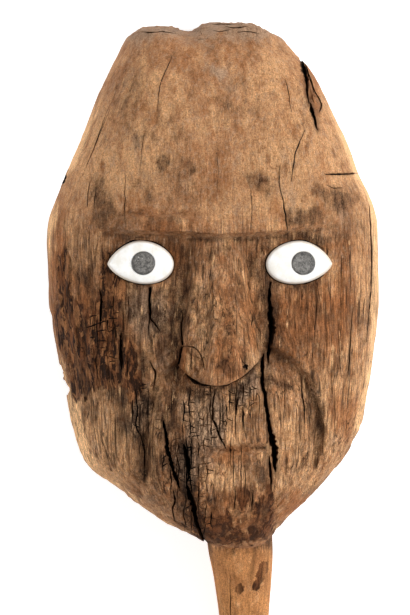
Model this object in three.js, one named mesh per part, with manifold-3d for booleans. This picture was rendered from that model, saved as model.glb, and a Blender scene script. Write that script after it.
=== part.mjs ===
// Carved wooden funerary mask with shell eyes, lying on its flat back.
// The head is one block of old, split wood with a stake below its chin. Each eye is a domed almond of
// shell in a cut socket, with a dark disc let into it.
// Millimetres: X runs across the face, Y up it and Z out of it. The origin is on the flat back, under
// the middle of the eye line.
import * as THREE from "three";
import { mergeVertices } from "three/addons/utils/BufferGeometryUtils.js";
import Module from "manifold-3d";

const wasm = await Module();
wasm.setup();

// The head. Its eye line halves the height that it had before its crown wore down.
const wholeHead = 321;
const chinY = -wholeHead / 2;
const crownY = 138.5;
const faceDepth = 82;
const backEdgeInset = 5;

// The worn outline, as the X of each edge against Y, from the chin to the crown
const leftEdge = smoothThrough([
  [-160.5, 4], [-158, -6], [-152, -19], [-145, -34], [-136, -47], [-126, -60], [-114, -76], [-104, -81.5],
  [-90, -85.5], [-72, -89], [-45, -94], [-20, -98], [8, -99.5], [24, -99], [34, -95.5], [48, -90],
  [69, -81], [92, -72.5], [107, -65.5], [118, -60], [127, -56], [134, -53], [138.5, -44],
]);
const rightEdge = smoothThrough([
  [-160.5, 19], [-158, 26], [-153, 31], [-145, 38], [-134, 50.5], [-123, 61], [-108, 73.5], [-95, 80],
  [-80, 84.5], [-60, 88], [-30, 91], [0, 92], [16, 91.8], [30, 90.5], [40, 86.5], [52, 80.5], [67, 75],
  [88, 65], [103, 58], [113, 51.5], [120, 45], [131, 35.5], [138.5, 22],
]);

// Heights above the back against Y: the front along its middle, the widest level, and the underside
const frontHeight = smoothThrough([
  [-160.5, 52], [-158, 61], [-153, 69], [-145, 75], [-130, 80], [-105, faceDepth], [10, faceDepth],
  [50, 81], [80, 77], [105, 70], [120, 62], [128, 55], [132, 46], [135.5, 33], [138.5, 18],
]);
const rimHeight = smoothThrough([
  [-160.5, 48], [-155, 44], [-148, 36], [-136, 24], [-116, 15], [-90, 11], [100, 10], [138.5, 8],
]);
const backHeight = smoothThrough([
  [-160.5, 44], [-156, 28], [-150, 14], [-142, 4], [-134, 0], [100, 0], [138.5, 0],
]);

// How square the head is across: the front rounds off by 1 - |t|^flatness, to this root
const flatness = 3.3;
const edgeRoot = 2.2;

// Hollows, measured outwards from the front: the brow ledge over the eyes, and the raised mouth
const brow = { y: 15.5, leftRise: 0.0008, rightRise: 0.0019, depth: 5.5, foot: -52, half: 86 };
const muzzle = { x: 6, y: -103, halfWidth: 56, halfHeight: 50, height: 3.5 };

// The nose, a wedge with a flat, broken ridge
const nose = {
  bridgeY: brow.y + 1,
  footY: chinY + 0.29 * wholeHead,
  bridgeHalf: 14.5,
  footHalf: 23.5,
  footCurve: 0.0245,
  footSlant: 0.2,
  ridgeHalf: 7.5,
  ridgeShift: 3.5,
  bridgeRise: 4.5,
  tipRise: 21,
  root: 62,
};
const mouth = { y: nose.footY + 0.375 * (chinY - nose.footY), left: -13, right: 27, width: 4.5, depth: 3 };
const fold = { startX: 26, bowX: 47.5, startY: nose.footY + 13, endY: mouth.y - 8, width: 4.6, depth: 3 };

// The eyes: an almond with its point outwards, in a socket, and a disc let into it
const eye = {
  x: 44, length: 37, rise: 13, drop: 11.2, tilt: 6, proud: 2.6, body: 3.4, dome: 2.4,
  socketDepth: 4.2, gap: 0.45,
};
const disc = { x: 1.9, y: 0.4, radius: 6.4, thick: 1.5, recess: 1.1, gap: 0.3 };

// The stake: Y, middle X, half-width, middle Z and half-height, from inside the chin to its blunt end
const stakeStations = [
  [-112, 9, 18, 20, 15],
  [-140, 10.5, 19.2, 20.5, 17],
  [-160, 11.8, 18.8, 20.5, 16.8],
  [-180, 13.2, 16.7, 19.5, 15.6],
  [-200, 14, 14.6, 18.5, 14.4],
  [-240, 14.8, 12.5, 17, 12.6],
  [-275, 15.2, 10.8, 15.5, 11],
  [-302, 15.8, 9, 14.2, 9.4],
  [-309, 15.9, 7.4, 13.8, 7.6],
  [-311, 15.9, 5.6, 13.8, 5.8],
];
const stakeSides = 20;

// Splits along the grain: each point is X, Y and the width there
const splits = {
  besideNose: {
    depth: 20,
    path: [[28.6, -10, 1.2], [27.5, -16, 1.9], [28, -26, 3.1], [28.9, -35, 4.2], [28.2, -42, 3.4],
      [27.1, -49, 2.2], [26.9, -56, 0.7]],
  },
  besideMouth: {
    depth: 22,
    path: [[24.6, -50, 1.1], [23.4, -57, 2.3], [24, -67, 2.6], [25.4, -77, 2.3], [27.1, -89, 2.6],
      [28.6, -96, 3.7], [30.3, -104, 4.6], [30.6, -109, 3.4], [31.2, -116, 0.6]],
  },
  leftOfMouth: {
    depth: 16,
    path: [[-31.4, -87, 0.9], [-30.2, -94, 2], [-29, -103, 2.6], [-26.6, -113, 2.9], [-24.3, -120, 2],
      [-22, -126, 0.6]],
  },
  chin: {
    depth: 20,
    path: [[-19, -123, 0.8], [-17, -129, 2.8], [-15, -134, 4], [-13.4, -142, 3.2], [-11, -150, 2.4],
      [-7.6, -158, 2]],
  },
  underEye: {
    depth: 12,
    path: [[-38.9, -13, 1.7], [-39.1, -21, 1.7], [-38.9, -29, 1.9], [-37, -32.6, 1.2], [-33, -38, 0.5]],
  },
  crown: {
    depth: 18,
    path: [[46, 120.5, 1.4], [47.7, 111.5, 3.2], [48.9, 103.4, 2.9], [49.6, 96, 1.5], [50, 90, 0.6]],
  },
  cheek: {
    depth: 9,
    path: [[-55.1, -38, 0.9], [-55.4, -46, 1.8], [-55.1, -53, 2.7], [-54.9, -59, 0.7]],
  },
};

// Where the wood broke away from the left edge of the jaw
const chip = { x: -92.5, y: -70.5, z: 26, radius: 7, length: 8, height: 30 };

const wood = new THREE.MeshStandardMaterial({ color: 0x9a6b45, roughness: 0.85, metalness: 0 });
const shell = new THREE.MeshStandardMaterial({ color: 0xece8df, roughness: 0.35, metalness: 0 });
const darkStone = new THREE.MeshStandardMaterial({ color: 0x4d4a47, roughness: 0.45, metalness: 0 });

// A smooth curve through [position, value] knots that never swings past them, as a function of position
function smoothThrough(knots) {
  const rise = (i) => (knots[i + 1][1] - knots[i][1]) / (knots[i + 1][0] - knots[i][0]);
  const slope = (i) => {
    if (i === 0) return rise(0);
    if (i === knots.length - 1) return rise(i - 1);
    const [before, after] = [rise(i - 1), rise(i)];
    return before * after > 0 ? (2 * before * after) / (before + after) : 0;
  };
  return (position) => {
    const p = THREE.MathUtils.clamp(position, knots[0][0], knots.at(-1)[0]);
    const i = Math.max(knots.findIndex((k) => k[0] >= p), 1);
    const [[p0, v0], [p1, v1]] = [knots[i - 1], knots[i]];
    const gap = p1 - p0;
    const s = (p - p0) / gap;
    const bend = v0 * (1 + 2 * s) * (1 - s) ** 2 + v1 * s * s * (3 - 2 * s);
    return bend + gap * s * (1 - s) * (slope(i - 1) * (1 - s) - slope(i) * s);
  };
}

const ease = (value, from, to) => {
  const s = THREE.MathUtils.clamp((value - from) / (to - from), 0, 1);
  return s * s * (3 - 2 * s);
};

const browLine = (x) => brow.y + (x < 0 ? brow.leftRise : brow.rightRise) * x * x;

// The lower end of the nose, worn away more on one wing than on the other
const noseFoot = (x) => nose.footY + nose.footCurve * (x - 2) ** 2 + nose.footSlant * x;

// What the carving takes off or leaves on the rounded front at a place on the face
function carving(x, y) {
  const under = ease(y, browLine(x) + 0.8, browLine(x) - 2) * (1 - ease(y, -8, brow.foot));
  const hollow = brow.depth * under * (1 - 0.85 * ease(Math.abs(x), 22, brow.half));
  const far = Math.hypot((x - muzzle.x) / muzzle.halfWidth, (y - muzzle.y) / muzzle.halfHeight);
  return muzzle.height * (1 - ease(far, 0.62, 1)) - hollow;
}

// Height of the front above the back at a place on the face
function surfaceAt(x, y) {
  const [left, right] = [leftEdge(y), rightEdge(y)];
  const t = Math.min(Math.abs((2 * x - left - right) / (right - left)), 1);
  const dome = (1 - t ** flatness) ** (1 / edgeRoot);
  return rimHeight(y) + (frontHeight(y) - rimHeight(y)) * dome + carving(x, y) * Math.min(1, 3 * dome);
}

// A closed surface, facing out, from rings of points all of one length, with a fan over each end
function loft(rings) {
  const [count, last] = [rings[0].length, rings.length - 1];
  const points = [...rings.flat(), middleOf(rings[0]), middleOf(rings[last])];
  const [startMiddle, endMiddle] = [points.length - 2, points.length - 1];
  const faces = [];
  for (let i = 0; i < count; i++) {
    const next = (i + 1) % count;
    for (let row = 0; row < last; row++) {
      const [a, b] = [row * count + i, row * count + next];
      faces.push(a, b, b + count, a, b + count, a + count);
    }
    faces.push(startMiddle, next, i, endMiddle, last * count + i, last * count + next);
  }
  const geometry = new THREE.BufferGeometry().setFromPoints(points);
  geometry.setIndex(volumeWithin(points, faces) > 0 ? faces : faces.reverse());
  return geometry;
}

function volumeWithin(points, faces) {
  let volume = 0;
  for (let i = 0; i < faces.length; i += 3) {
    const [a, b, c] = faces.slice(i, i + 3).map((corner) => points[corner]);
    volume += a.dot(b.clone().cross(c)) / 6;
  }
  return volume;
}

function middleOf(ring) {
  return ring.reduce((sum, p) => sum.add(p), new THREE.Vector3()).divideScalar(ring.length);
}

function solidOf(geometry, matrix = new THREE.Matrix4()) {
  const bare = geometry.clone().applyMatrix4(matrix);
  bare.deleteAttribute("normal");
  bare.deleteAttribute("uv");
  const merged = mergeVertices(bare, 1e-3);
  const vertProperties = new Float32Array(merged.attributes.position.array);
  const triVerts = new Uint32Array(merged.index.array);
  return new wasm.Manifold(new wasm.Mesh({ numProp: 3, vertProperties, triVerts }));
}

function geometryOf(solid) {
  const mesh = solid.getMesh();
  const geometry = new THREE.BufferGeometry();
  geometry.setAttribute("position", new THREE.BufferAttribute(mesh.vertProperties, 3));
  geometry.setIndex(new THREE.BufferAttribute(mesh.triVerts, 1));
  geometry.computeVertexNormals();
  return geometry;
}

// Positions from one end to the other in steps of about the given size
function stretch(from, to, step) {
  const count = Math.round(Math.abs(to - from) / step);
  return Array.from({ length: count }, (_, i) => from + ((to - from) * i) / count);
}

// The head's rows are close together at the chin, the brow ledge and the worn crown.
function headRows() {
  return [
    ...stretch(chinY, -152, 2.1), ...stretch(-152, -124, 4.7), ...stretch(-124, -8, 6.8),
    ...stretch(-8, brow.y - 4, 5), ...stretch(brow.y - 4, brow.y + 13, 1.7),
    ...stretch(brow.y + 13, 118, 8), ...stretch(118, crownY, 3.4), crownY,
  ];
}

// The crown broke off unevenly: how far its top stands above or below its general level
const crownWear = smoothThrough([
  [-56, -5], [-46, -1.4], [-34, -0.6], [-26, -1.4], [-19, -3.6], [-12, -1.6], [-6, 0.6], [4, 0.8],
  [13, 1.8], [21, -0.8], [30, -3.5],
]);

function headRow(y) {
  const frontColumns = 44;
  const [left, right] = [leftEdge(y), rightEdge(y)];
  const [middle, half] = [(left + right) / 2, (right - left) / 2];
  const inset = Math.min(backEdgeInset, 0.3 * half);
  const worn = ease(y, 122, crownY);
  const place = (x, z) => new THREE.Vector3(x, y + worn * crownWear(x) * ease(z, 0, 40), z);
  const ring = [];
  for (let i = 0; i <= frontColumns; i++) {
    const s = (2 * i) / frontColumns - 1;
    const t = s * (1.38 - 0.38 * s * s); // columns crowd together towards both edges
    const x = middle + half * t;
    const dome = (1 - Math.min(Math.abs(t), 1) ** flatness) ** (1 / edgeRoot);
    const z = rimHeight(y) + (frontHeight(y) - rimHeight(y)) * dome;
    const point = place(x, z);
    point.z += carving(x, point.y) * Math.min(1, 3 * dome);
    ring.push(point);
  }
  ring.push(place(right - inset, backHeight(y)), place(left + inset, backHeight(y)));
  return ring;
}

function headBlock() {
  return solidOf(loft(headRows().map(headRow)));
}

function noseWedge() {
  const shares = [0, 0.2, 0.4, 0.6, 0.8, 0.92, 1];
  const across = [-1, -0.97, -1 / 3, 1 / 3, 0.97, 1];
  const rings = shares.map((share) => {
    const half = THREE.MathUtils.lerp(nose.bridgeHalf, nose.footHalf, share ** 1.3);
    const rise = THREE.MathUtils.lerp(nose.bridgeRise, nose.tipRise, share ** 1.1);
    const droop = 1 - 0.12 * ease(share, 0.85, 1);
    return across.map((u) => {
      const onRidge = Math.abs(u) < 0.5;
      const x = onRidge ? nose.ridgeShift + Math.sign(u) * nose.ridgeHalf : half * u;
      const y = THREE.MathUtils.lerp(nose.bridgeY, noseFoot(x), share);
      const height = surfaceAt(x, y) + rise * droop * (onRidge ? 1 : 0.42);
      return new THREE.Vector3(x, y, Math.abs(u) === 1 ? nose.root : height);
    });
  });
  return solidOf(loft(rings));
}

function stake() {
  const rings = stakeStations.map(([y, x, halfX, z, halfZ]) =>
    Array.from({ length: stakeSides }, (_, i) => {
      const turn = ((i + 0.5) / stakeSides) * 2 * Math.PI;
      return new THREE.Vector3(x - halfX * Math.cos(turn), y, z + halfZ * Math.sin(turn));
    }),
  );
  return solidOf(loft(rings));
}

// A V-shaped cutter along a path of X, Y and width on the face
function vCutter(path, depth) {
  const above = 6;
  const rings = path.map(([x, y, width]) => {
    const level = surfaceAt(x, y);
    const reach = depth * Math.min(1, 0.35 + width / 3);
    const half = (width / 2) * (1 + above / reach);
    return [
      new THREE.Vector3(x - half, y, level + above),
      new THREE.Vector3(x + half, y, level + above),
      new THREE.Vector3(x, y, level - reach),
    ];
  });
  return solidOf(loft(rings));
}

// The groove that runs from the wing of the nose down round the mouth, on one side
function cheekFold(side) {
  const steps = 8;
  const path = Array.from({ length: steps + 1 }, (_, i) => {
    const share = i / steps;
    const x = muzzle.x + side * THREE.MathUtils.lerp(fold.startX, fold.bowX, Math.sin((share * Math.PI) / 2));
    const width = fold.width * (0.3 + 0.7 * Math.sin(Math.PI * Math.min(0.95, share + 0.05)));
    return [x, THREE.MathUtils.lerp(fold.startY, fold.endY, share), width];
  });
  return vCutter(path, fold.depth);
}

// The mouth runs across, so its cutter is turned: its V widens along Y instead of X.
function mouthSlit() {
  const steps = 6;
  const rings = Array.from({ length: steps + 1 }, (_, i) => {
    const share = i / steps;
    const x = THREE.MathUtils.lerp(mouth.left, mouth.right, share);
    const half = mouth.width * (0.25 + 0.75 * Math.sin(Math.PI * share));
    const level = surfaceAt(x, mouth.y);
    return [
      new THREE.Vector3(x, mouth.y - half, level + mouth.depth),
      new THREE.Vector3(x, mouth.y + half, level + mouth.depth),
      new THREE.Vector3(x, mouth.y, level - mouth.depth),
    ];
  });
  return solidOf(loft(rings));
}

function edgeChip() {
  const matrix = new THREE.Matrix4()
    .makeTranslation(chip.x, chip.y, chip.z)
    .scale(new THREE.Vector3(chip.radius, chip.length, chip.height));
  return solidOf(new THREE.IcosahedronGeometry(1, 2), matrix);
}

// Points round the almond of an eye, its tip on the outer side of the face
function almond(side, scale = 1, grow = 0) {
  const outline = new THREE.Shape();
  const [half, up, down] = [eye.length / 2, eye.rise, -eye.drop];
  outline.moveTo(-half, 0);
  outline.bezierCurveTo(-half + 3, 5, -half * 0.42, up, 0, up);
  outline.bezierCurveTo(half * 0.5, up, half, up * 0.5, half, 0);
  outline.bezierCurveTo(half, down * 0.62, half * 0.62, down, half * 0.15, down);
  outline.bezierCurveTo(-half * 0.35, down, -half + 4, -5, -half, 0);
  return outline.getPoints(7).slice(0, -1).map((p) => {
    const away = p.clone().normalize().multiplyScalar(grow);
    p.multiplyScalar(scale).add(away);
    p.x *= -side;
    return p;
  });
}

// A closed solid from one outline stacked at several heights and scales
function stack(outlineAt, layers) {
  return loft(layers.map(([z, scale]) => outlineAt(scale).map((p) => new THREE.Vector3(p.x, p.y, z))));
}

function circlePoints(radius, sides) {
  return Array.from({ length: sides }, (_, i) => {
    const turn = (i / sides) * 2 * Math.PI;
    return new THREE.Vector2(disc.x + radius * Math.cos(turn), disc.y + radius * Math.sin(turn));
  });
}

// The dome of the shell, with the recess for its disc. Heights start at the shell's underside.
function eyeShell(side) {
  const layers = [
    [0, 1], [eye.body, 1], [eye.body + 0.35 * eye.dome, 0.95], [eye.body + 0.62 * eye.dome, 0.86],
    [eye.body + 0.85 * eye.dome, 0.7], [eye.body + eye.dome, 0.45],
  ];
  const body = solidOf(stack((scale) => almond(side, scale), layers));
  const top = eye.body + eye.dome;
  const hole = stack((scale) => circlePoints(disc.radius + disc.gap * scale, 28),
    [[top - disc.recess, 1], [top + 5, 1]]);
  return body.subtract(solidOf(hole));
}

function eyeDisc() {
  const layers = [[0, 1], [disc.thick - 0.4, 1], [disc.thick, 0.93]];
  return solidOf(stack((scale) => circlePoints(disc.radius * scale, 28), layers));
}

// Where an eye sits: the place and tilt of its underside
function eyeFrame(side) {
  const level = surfaceAt(side * eye.x, 0) + eye.proud - eye.body - eye.dome;
  return new THREE.Matrix4()
    .makeTranslation(side * eye.x, 0, level)
    .multiply(new THREE.Matrix4().makeRotationY(side * THREE.MathUtils.degToRad(eye.tilt)));
}

function socket(side) {
  const cut = stack(() => almond(side, 1, eye.gap), [[-eye.gap, 1], [eye.body + eye.socketDepth, 1]]);
  return solidOf(cut, eyeFrame(side));
}

function carvedHead() {
  const cutters = [
    ...Object.values(splits).map((split) => vCutter(split.path, split.depth)),
    cheekFold(-1), cheekFold(1), mouthSlit(), edgeChip(), socket(-1), socket(1),
  ];
  const whole = headBlock().add(noseWedge()).add(stake());
  return cutters.reduce((solid, cutter) => solid.subtract(cutter), whole);
}

function piece(name, solid, material, matrix) {
  const geometry = geometryOf(solid);
  const mesh = new THREE.Mesh(geometry, material);
  mesh.name = name;
  if (matrix) matrix.decompose(mesh.position, mesh.quaternion, mesh.scale);
  return mesh;
}

const mask = new THREE.Group();
mask.add(piece("carved_head", carvedHead(), wood));
for (const [name, side] of [["left", -1], ["right", 1]]) {
  const frame = eyeFrame(side);
  const discFrame = frame.clone().multiply(
    new THREE.Matrix4().makeTranslation(0, 0, eye.body + eye.dome - disc.recess + disc.gap));
  mask.add(piece(`${name}_eye_shell`, eyeShell(side), shell, frame));
  mask.add(piece(`${name}_eye_disc`, eyeDisc(), darkStone, discFrame));
}

export default mask;
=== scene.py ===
import math
import random
import time

import bmesh
import bpy
import numpy as np
from mathutils import Matrix, Vector


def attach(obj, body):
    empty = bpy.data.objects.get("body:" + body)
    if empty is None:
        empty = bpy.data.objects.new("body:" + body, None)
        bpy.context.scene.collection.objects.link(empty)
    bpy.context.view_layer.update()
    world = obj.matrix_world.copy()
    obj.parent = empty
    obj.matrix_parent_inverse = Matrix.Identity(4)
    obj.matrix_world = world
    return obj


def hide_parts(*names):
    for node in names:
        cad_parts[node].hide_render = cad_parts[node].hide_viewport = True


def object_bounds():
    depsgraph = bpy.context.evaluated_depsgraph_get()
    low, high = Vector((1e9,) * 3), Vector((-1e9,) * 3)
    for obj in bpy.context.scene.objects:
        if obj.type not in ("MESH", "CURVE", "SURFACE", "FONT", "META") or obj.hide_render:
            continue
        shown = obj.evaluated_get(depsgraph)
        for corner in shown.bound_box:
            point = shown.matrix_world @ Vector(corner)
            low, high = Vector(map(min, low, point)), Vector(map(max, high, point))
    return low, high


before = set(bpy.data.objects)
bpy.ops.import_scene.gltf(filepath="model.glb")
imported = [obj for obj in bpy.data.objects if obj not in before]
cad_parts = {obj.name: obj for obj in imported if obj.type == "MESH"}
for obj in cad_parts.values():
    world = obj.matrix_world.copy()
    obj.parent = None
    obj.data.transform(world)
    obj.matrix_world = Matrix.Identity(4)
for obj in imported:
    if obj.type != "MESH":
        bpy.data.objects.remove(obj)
cadBox = [list(corner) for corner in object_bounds()]
started = time.time()
mm = 0.001


def stage(words):
    print(f"{time.time() - started:6.1f} s  {words}")


# Curves and noise, all in millimetres

def ease(value, start, end):
    s = np.clip((np.asarray(value, float) - start) / (end - start), 0, 1)
    return s * s * (3 - 2 * s)


def smoothThrough(knots):
    at, value = np.array(knots, float).T
    rise = np.diff(value) / np.diff(at)
    before, after = rise[:-1], rise[1:]
    total = np.where(before + after == 0, 1, before + after)
    inner = np.where(before * after > 0, 2 * before * after / total, 0)
    slope = np.concatenate([rise[:1], inner, rise[-1:]])

    def curve(position):
        p = np.clip(np.asarray(position, float), at[0], at[-1])
        i = np.clip(np.searchsorted(at, p), 1, len(at) - 1)
        gap = at[i] - at[i - 1]
        s = (p - at[i - 1]) / gap
        bend = value[i - 1] * (1 + 2 * s) * (1 - s) ** 2 + value[i] * s * s * (3 - 2 * s)
        return bend + gap * s * (1 - s) * (slope[i - 1] * (1 - s) - slope[i] * s)

    return curve


def noise(x, y, z, seed=0):
    # smooth noise from -1 to 1 with features one unit across
    spot = np.stack(np.broadcast_arrays(x, y, z), axis=-1).astype(float)
    cell = np.floor(spot)
    f = spot - cell
    f = f * f * (3 - 2 * f)
    total = 0
    for corner in range(8):
        step = np.array([corner & 1, corner >> 1 & 1, corner >> 2 & 1])
        wave = np.sin((cell + step) @ np.array([127.1, 311.7, 74.7]) + seed * 19.19) * 43758.5453
        weight = np.prod(np.where(step, f, 1 - f), axis=-1)
        total = total + weight * (2 * (wave - np.floor(wave)) - 1)
    return total


def layeredNoise(x, y, z, seed=0, layers=3):
    total = 0
    for k in range(layers):
        total = total + noise(x * 2 ** k, y * 2 ** k, z * 2 ** k, seed + 7 * k) / 2 ** k
    return total / 1.6


def farFromPath(x, y, path):
    # distance to a line through points on the face
    far = np.full(np.shape(x), 1e9)
    for (x0, y0), (x1, y1) in zip(path[:-1], path[1:]):
        along = ((x - x0) * (x1 - x0) + (y - y0) * (y1 - y0)) / ((x1 - x0) ** 2 + (y1 - y0) ** 2)
        along = np.clip(along, 0, 1)
        far = np.minimum(far, np.hypot(x - x0 - along * (x1 - x0), y - y0 - along * (y1 - y0)))
    return far


def patchMask(x, y, patches, soft=0.55):
    # 1 inside ellipses given as (x, y, half width, half height), 0 outside
    mask = np.zeros(np.shape(x))
    for cx, cy, rx, ry in patches:
        mask = np.maximum(mask, 1 - ease(np.hypot((x - cx) / rx, (y - cy) / ry), 1 - soft, 1 + soft))
    return mask


# The head

wholeHead = 321
chinY = -wholeHead / 2
crownY = 138.5
faceDepth = 82

# the worn outline: the X of each edge against Y, from the chin to the crown
leftEdge = smoothThrough([
    [chinY, 4], [-158, -6], [-152, -19], [-145, -34], [-136, -47], [-126, -60], [-114, -76], [-104, -81.5],
    [-90, -85.5], [-72, -89], [-45, -94], [-20, -98], [8, -99.5], [19, -99.1], [27, -97.9], [32, -96.4],
    [38, -94], [45, -91.2], [69, -81], [92, -72.5], [107, -65.5], [118, -60], [127, -56], [134, -53],
    [crownY, -44],
])
rightEdge = smoothThrough([
    [chinY, 19], [-158, 26], [-153, 31], [-145, 38], [-134, 50.5], [-123, 61], [-108, 73.5], [-95, 80],
    [-80, 84.5], [-60, 88], [-30, 91], [0, 92], [16, 91.8], [25, 91.3], [33, 89.4], [41, 86.2], [52, 80.5],
    [67, 75], [88, 65], [103, 58], [113, 51.5], [120, 45], [131, 35.5], [crownY, 22],
])

# heights above the back against Y: the front along its middle, the widest level, and the underside
frontHeight = smoothThrough([
    [chinY, 52], [-158, 61], [-153, 69], [-145, 75], [-130, 80], [-105, faceDepth], [10, faceDepth],
    [50, 81], [80, 77], [105, 70], [120, 62], [128, 55], [132, 46], [135.5, 33], [crownY, 18],
])
rimHeight = smoothThrough([
    [chinY, 48], [-155, 44], [-148, 36], [-136, 24], [-116, 15], [-90, 11], [100, 10], [crownY, 8],
])
backHeight = smoothThrough([
    [chinY, 44], [-156, 28], [-150, 14], [-142, 4], [-134, 0], [100, 0], [crownY, 0],
])

# how far the crown is worn down or stands up against X: its top edge, and the lip in front of it
crownWear = smoothThrough([
    [-56, -5], [-46, -1.6], [-34, -0.9], [-26, -1.6], [-20, -4], [-14, -3.4], [-10, -0.6],
    [-4, 0.6], [4, 0.8], [13, 1.8], [21, -0.8], [30, -3.5],
])
lipWear = smoothThrough([
    [-56, 2], [-42, 3], [-30, 1], [-20, -1.6], [-8, -1.2], [0, 2], [10, 5], [20, 6], [30, 3], [45, 0],
])

head = {
    "flatness": 3.3,
    "edgeRoot": 2.2,
    "backInset": 5,
    "frontColumns": 180,
    "sideColumns": 5,
    "backColumns": 12,
    "rowStep": 1.27,
    "fineChin": -152,
    "fineCrown": 124,
    "capRows": 9,
    "lipY": 129,
    "lipHalf": 4.5,
}
brow = {"y": 15.5, "leftRise": 0.0008, "rightRise": 0.0019, "depth": 5.5, "foot": -52, "half": 86}
browCut = {
    "x": -34, "top": 28.5, "curve": 0.0035, "depth": 2.3,
    "edgeUp": 0.6, "edgeDepth": 2.1, "edgeHalf": 1.1,
}
muzzle = {"x": 6, "y": -103, "halfWidth": 56, "halfHeight": 50, "height": 3.5}
nose = {
    "bridgeY": brow["y"] + 1, "footY": chinY + 0.29 * wholeHead,
    "footX": 2, "footCurve": 0.0245, "footSlant": 0.2,
    "bridgeHalf": 14.5, "footHalf": 23.5, "ridgeHalf": 6, "ridgeShift": 2.5,
    "bridgeRise": 4.5, "tipRise": 21, "root": 62,
    "rows": 84, "sideColumns": 26, "ridgeColumns": 16, "wallColumns": 7,
    "leftPlane": [[0, 0.03], [0.13, 0.5], [0.18, 0.56], [0.84, 0.8], [0.93, 0.97], [1, 1]],
    "rightPlane": [[0, 0.02], [0.3, 0.3], [0.38, 0.58], [0.44, 0.62], [0.88, 0.84], [0.95, 0.97], [1, 1]],
    "brokenWing": [(-15, -57, 8, 7)],
}
mouth = {
    "y": -103.5, "slope": 0.07, "left": -13, "right": 27, "fade": 6,
    "depth": 3.3, "half": 1.7, "lipRise": 1.2, "lipBelow": 5, "lipHalf": 4,
}

# folds beside the nose and mouth: depth, how far the outer slope reaches, and points down the cheek
folds = [
    (4.4, 7, [(-22, -56), (-30, -63), (-37, -72), (-40.5, -84), (-41.5, -96), (-42, -112)]),
    (2.4, 4, [(-21, -60), (-25, -70), (-30, -81), (-31.5, -90)]),
    (5, 8, [(27, -49), (37, -54), (47, -64), (53, -78), (55.5, -92), (54.5, -106)]),
]
foldSide = {"steep": 2.1, "ridge": 0.25, "ridgeAt": 6, "ridgeHalf": 4}


def browLine(x):
    return brow["y"] + np.where(x < 0, brow["leftRise"], brow["rightRise"]) * x * x


def browCutTop(x):
    return browCut["top"] - browCut["curve"] * (x - browCut["x"]) ** 2


def noseFoot(x):
    return nose["footY"] + nose["footCurve"] * (x - nose["footX"]) ** 2 + nose["footSlant"] * x


def lipLine(x):
    return mouth["y"] + mouth["slope"] * (x - muzzle["x"])


def lipSpan(x):
    # 1 along the mouth, 0 past its ends
    left, right, fade = mouth["left"], mouth["right"], mouth["fade"]
    return ease(x, left, left + fade) * (1 - ease(x, right - fade, right))


def carving(x, y):
    # what the large cuts take off or leave on the rounded front
    under = ease(y, browLine(x) + 0.9, browLine(x) - 1.9) * (1 - ease(y, -8, brow["foot"]))
    hollow = brow["depth"] * under * (1 - 0.85 * ease(np.abs(x), 22, brow["half"]))
    far = np.hypot((x - muzzle["x"]) / muzzle["halfWidth"], (y - muzzle["y"]) / muzzle["halfHeight"])
    return muzzle["height"] * (1 - ease(far, 0.62, 1)) - hollow


def domeAt(t):
    return (1 - np.minimum(np.abs(t), 1) ** head["flatness"]) ** (1 / head["edgeRoot"])


def surfaceAt(x, y):
    left, right = leftEdge(y), rightEdge(y)
    dome = domeAt((2 * x - left - right) / (right - left))
    height = rimHeight(y) + (frontHeight(y) - rimHeight(y)) * dome
    return height + carving(x, y) * np.minimum(1, 3 * dome)


def fineCarving(x, y):
    # the shallow cuts: the folds of the cheeks, the mouth and the left brow
    cut = 0
    for depth, reach, path in folds:
        far = farFromPath(x, y, path)
        inside = np.interp(y, *np.array(sorted((q, p) for p, q in path)).T)
        wall = np.where((x - inside) * np.sign(inside) > 0, foldSide["steep"], reach)
        fromRidge = (far - foldSide["ridgeAt"]) / foldSide["ridgeHalf"]
        cut = cut - depth * np.exp(-(far / wall) ** 2)
        cut = cut + foldSide["ridge"] * depth * np.exp(-fromRidge ** 2)
    lips, across = lipLine(x), lipSpan(x)
    cut = cut - mouth["depth"] * across * np.exp(-((y - lips) / mouth["half"]) ** 2)
    fromLip = (y - lips + mouth["lipBelow"]) / mouth["lipHalf"]
    cut = cut + mouth["lipRise"] * across * np.exp(-fromLip ** 2)
    band = ease(x, -62, -52) * (1 - ease(x, -16, -8))
    top = browCutTop(x)
    aboveBrow = ease(y, browLine(x) - 1, browLine(x) + 2)
    cut = cut + browCut["depth"] * band * aboveBrow * (1 - ease(y, top - 2, top))
    fromEdge = (y - top - browCut["edgeUp"]) / browCut["edgeHalf"]
    return cut - browCut["edgeDepth"] * band * np.exp(-fromEdge ** 2)


# where rot has broken the wood and where it has flaked: x, y, half width, half height
rotZones = [
    (-9, -84, 12, 18), (-16, -116, 8, 20), (-26, -110, 6, 12),
    (-43, -84, 6, 17), (-13, -140, 8, 10), (12, -74, 7, 8),
]
flakeZones = [(-86, -14, 9, 24), (-72, -44, 22, 27), (-62, -16, 12, 18), (-82, -66, 10, 9), (-50, -50, 9, 12)]

# millimetres of wear; a pair is what the whole head has and what its lower half adds
wear = {
    "skin": 0.7, "facets": 0.75, "fibres": 0.13, "lumps": 0.14,
    "furrows": (0.16, 0.36), "grooves": (0.08, 0.6),
    "rot": 2.2, "rotLift": 0.2, "flakes": 2.8, "flakeLift": 0.5,
    "endGrain": 1.7, "caps": 0.8, "capLumps": 0.9,
}

# how large the features of each noise are across the grain, along it and into the wood, and its seed
noiseSizes = {
    "drift": (26, 46, 26, 9), "furrow": (3.2, 44, 3.2, 3), "groove": (5, 60, 5, 13),
    "fibre": (1.6, 14, 1.6, 11), "facet": (17, 24, 17, 5), "lumps": (5.5, 6.5, 5.5, 23),
    "shelves": (5.4, 11, 5.4, 47), "endGrain": (4.6, 1.9, 7, 41), "back": (3, 40, 1, 61),
    "noseFibre": (1.4, 18, 1.4, 19), "noseLumps": (4, 9, 4, 29),
}


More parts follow.
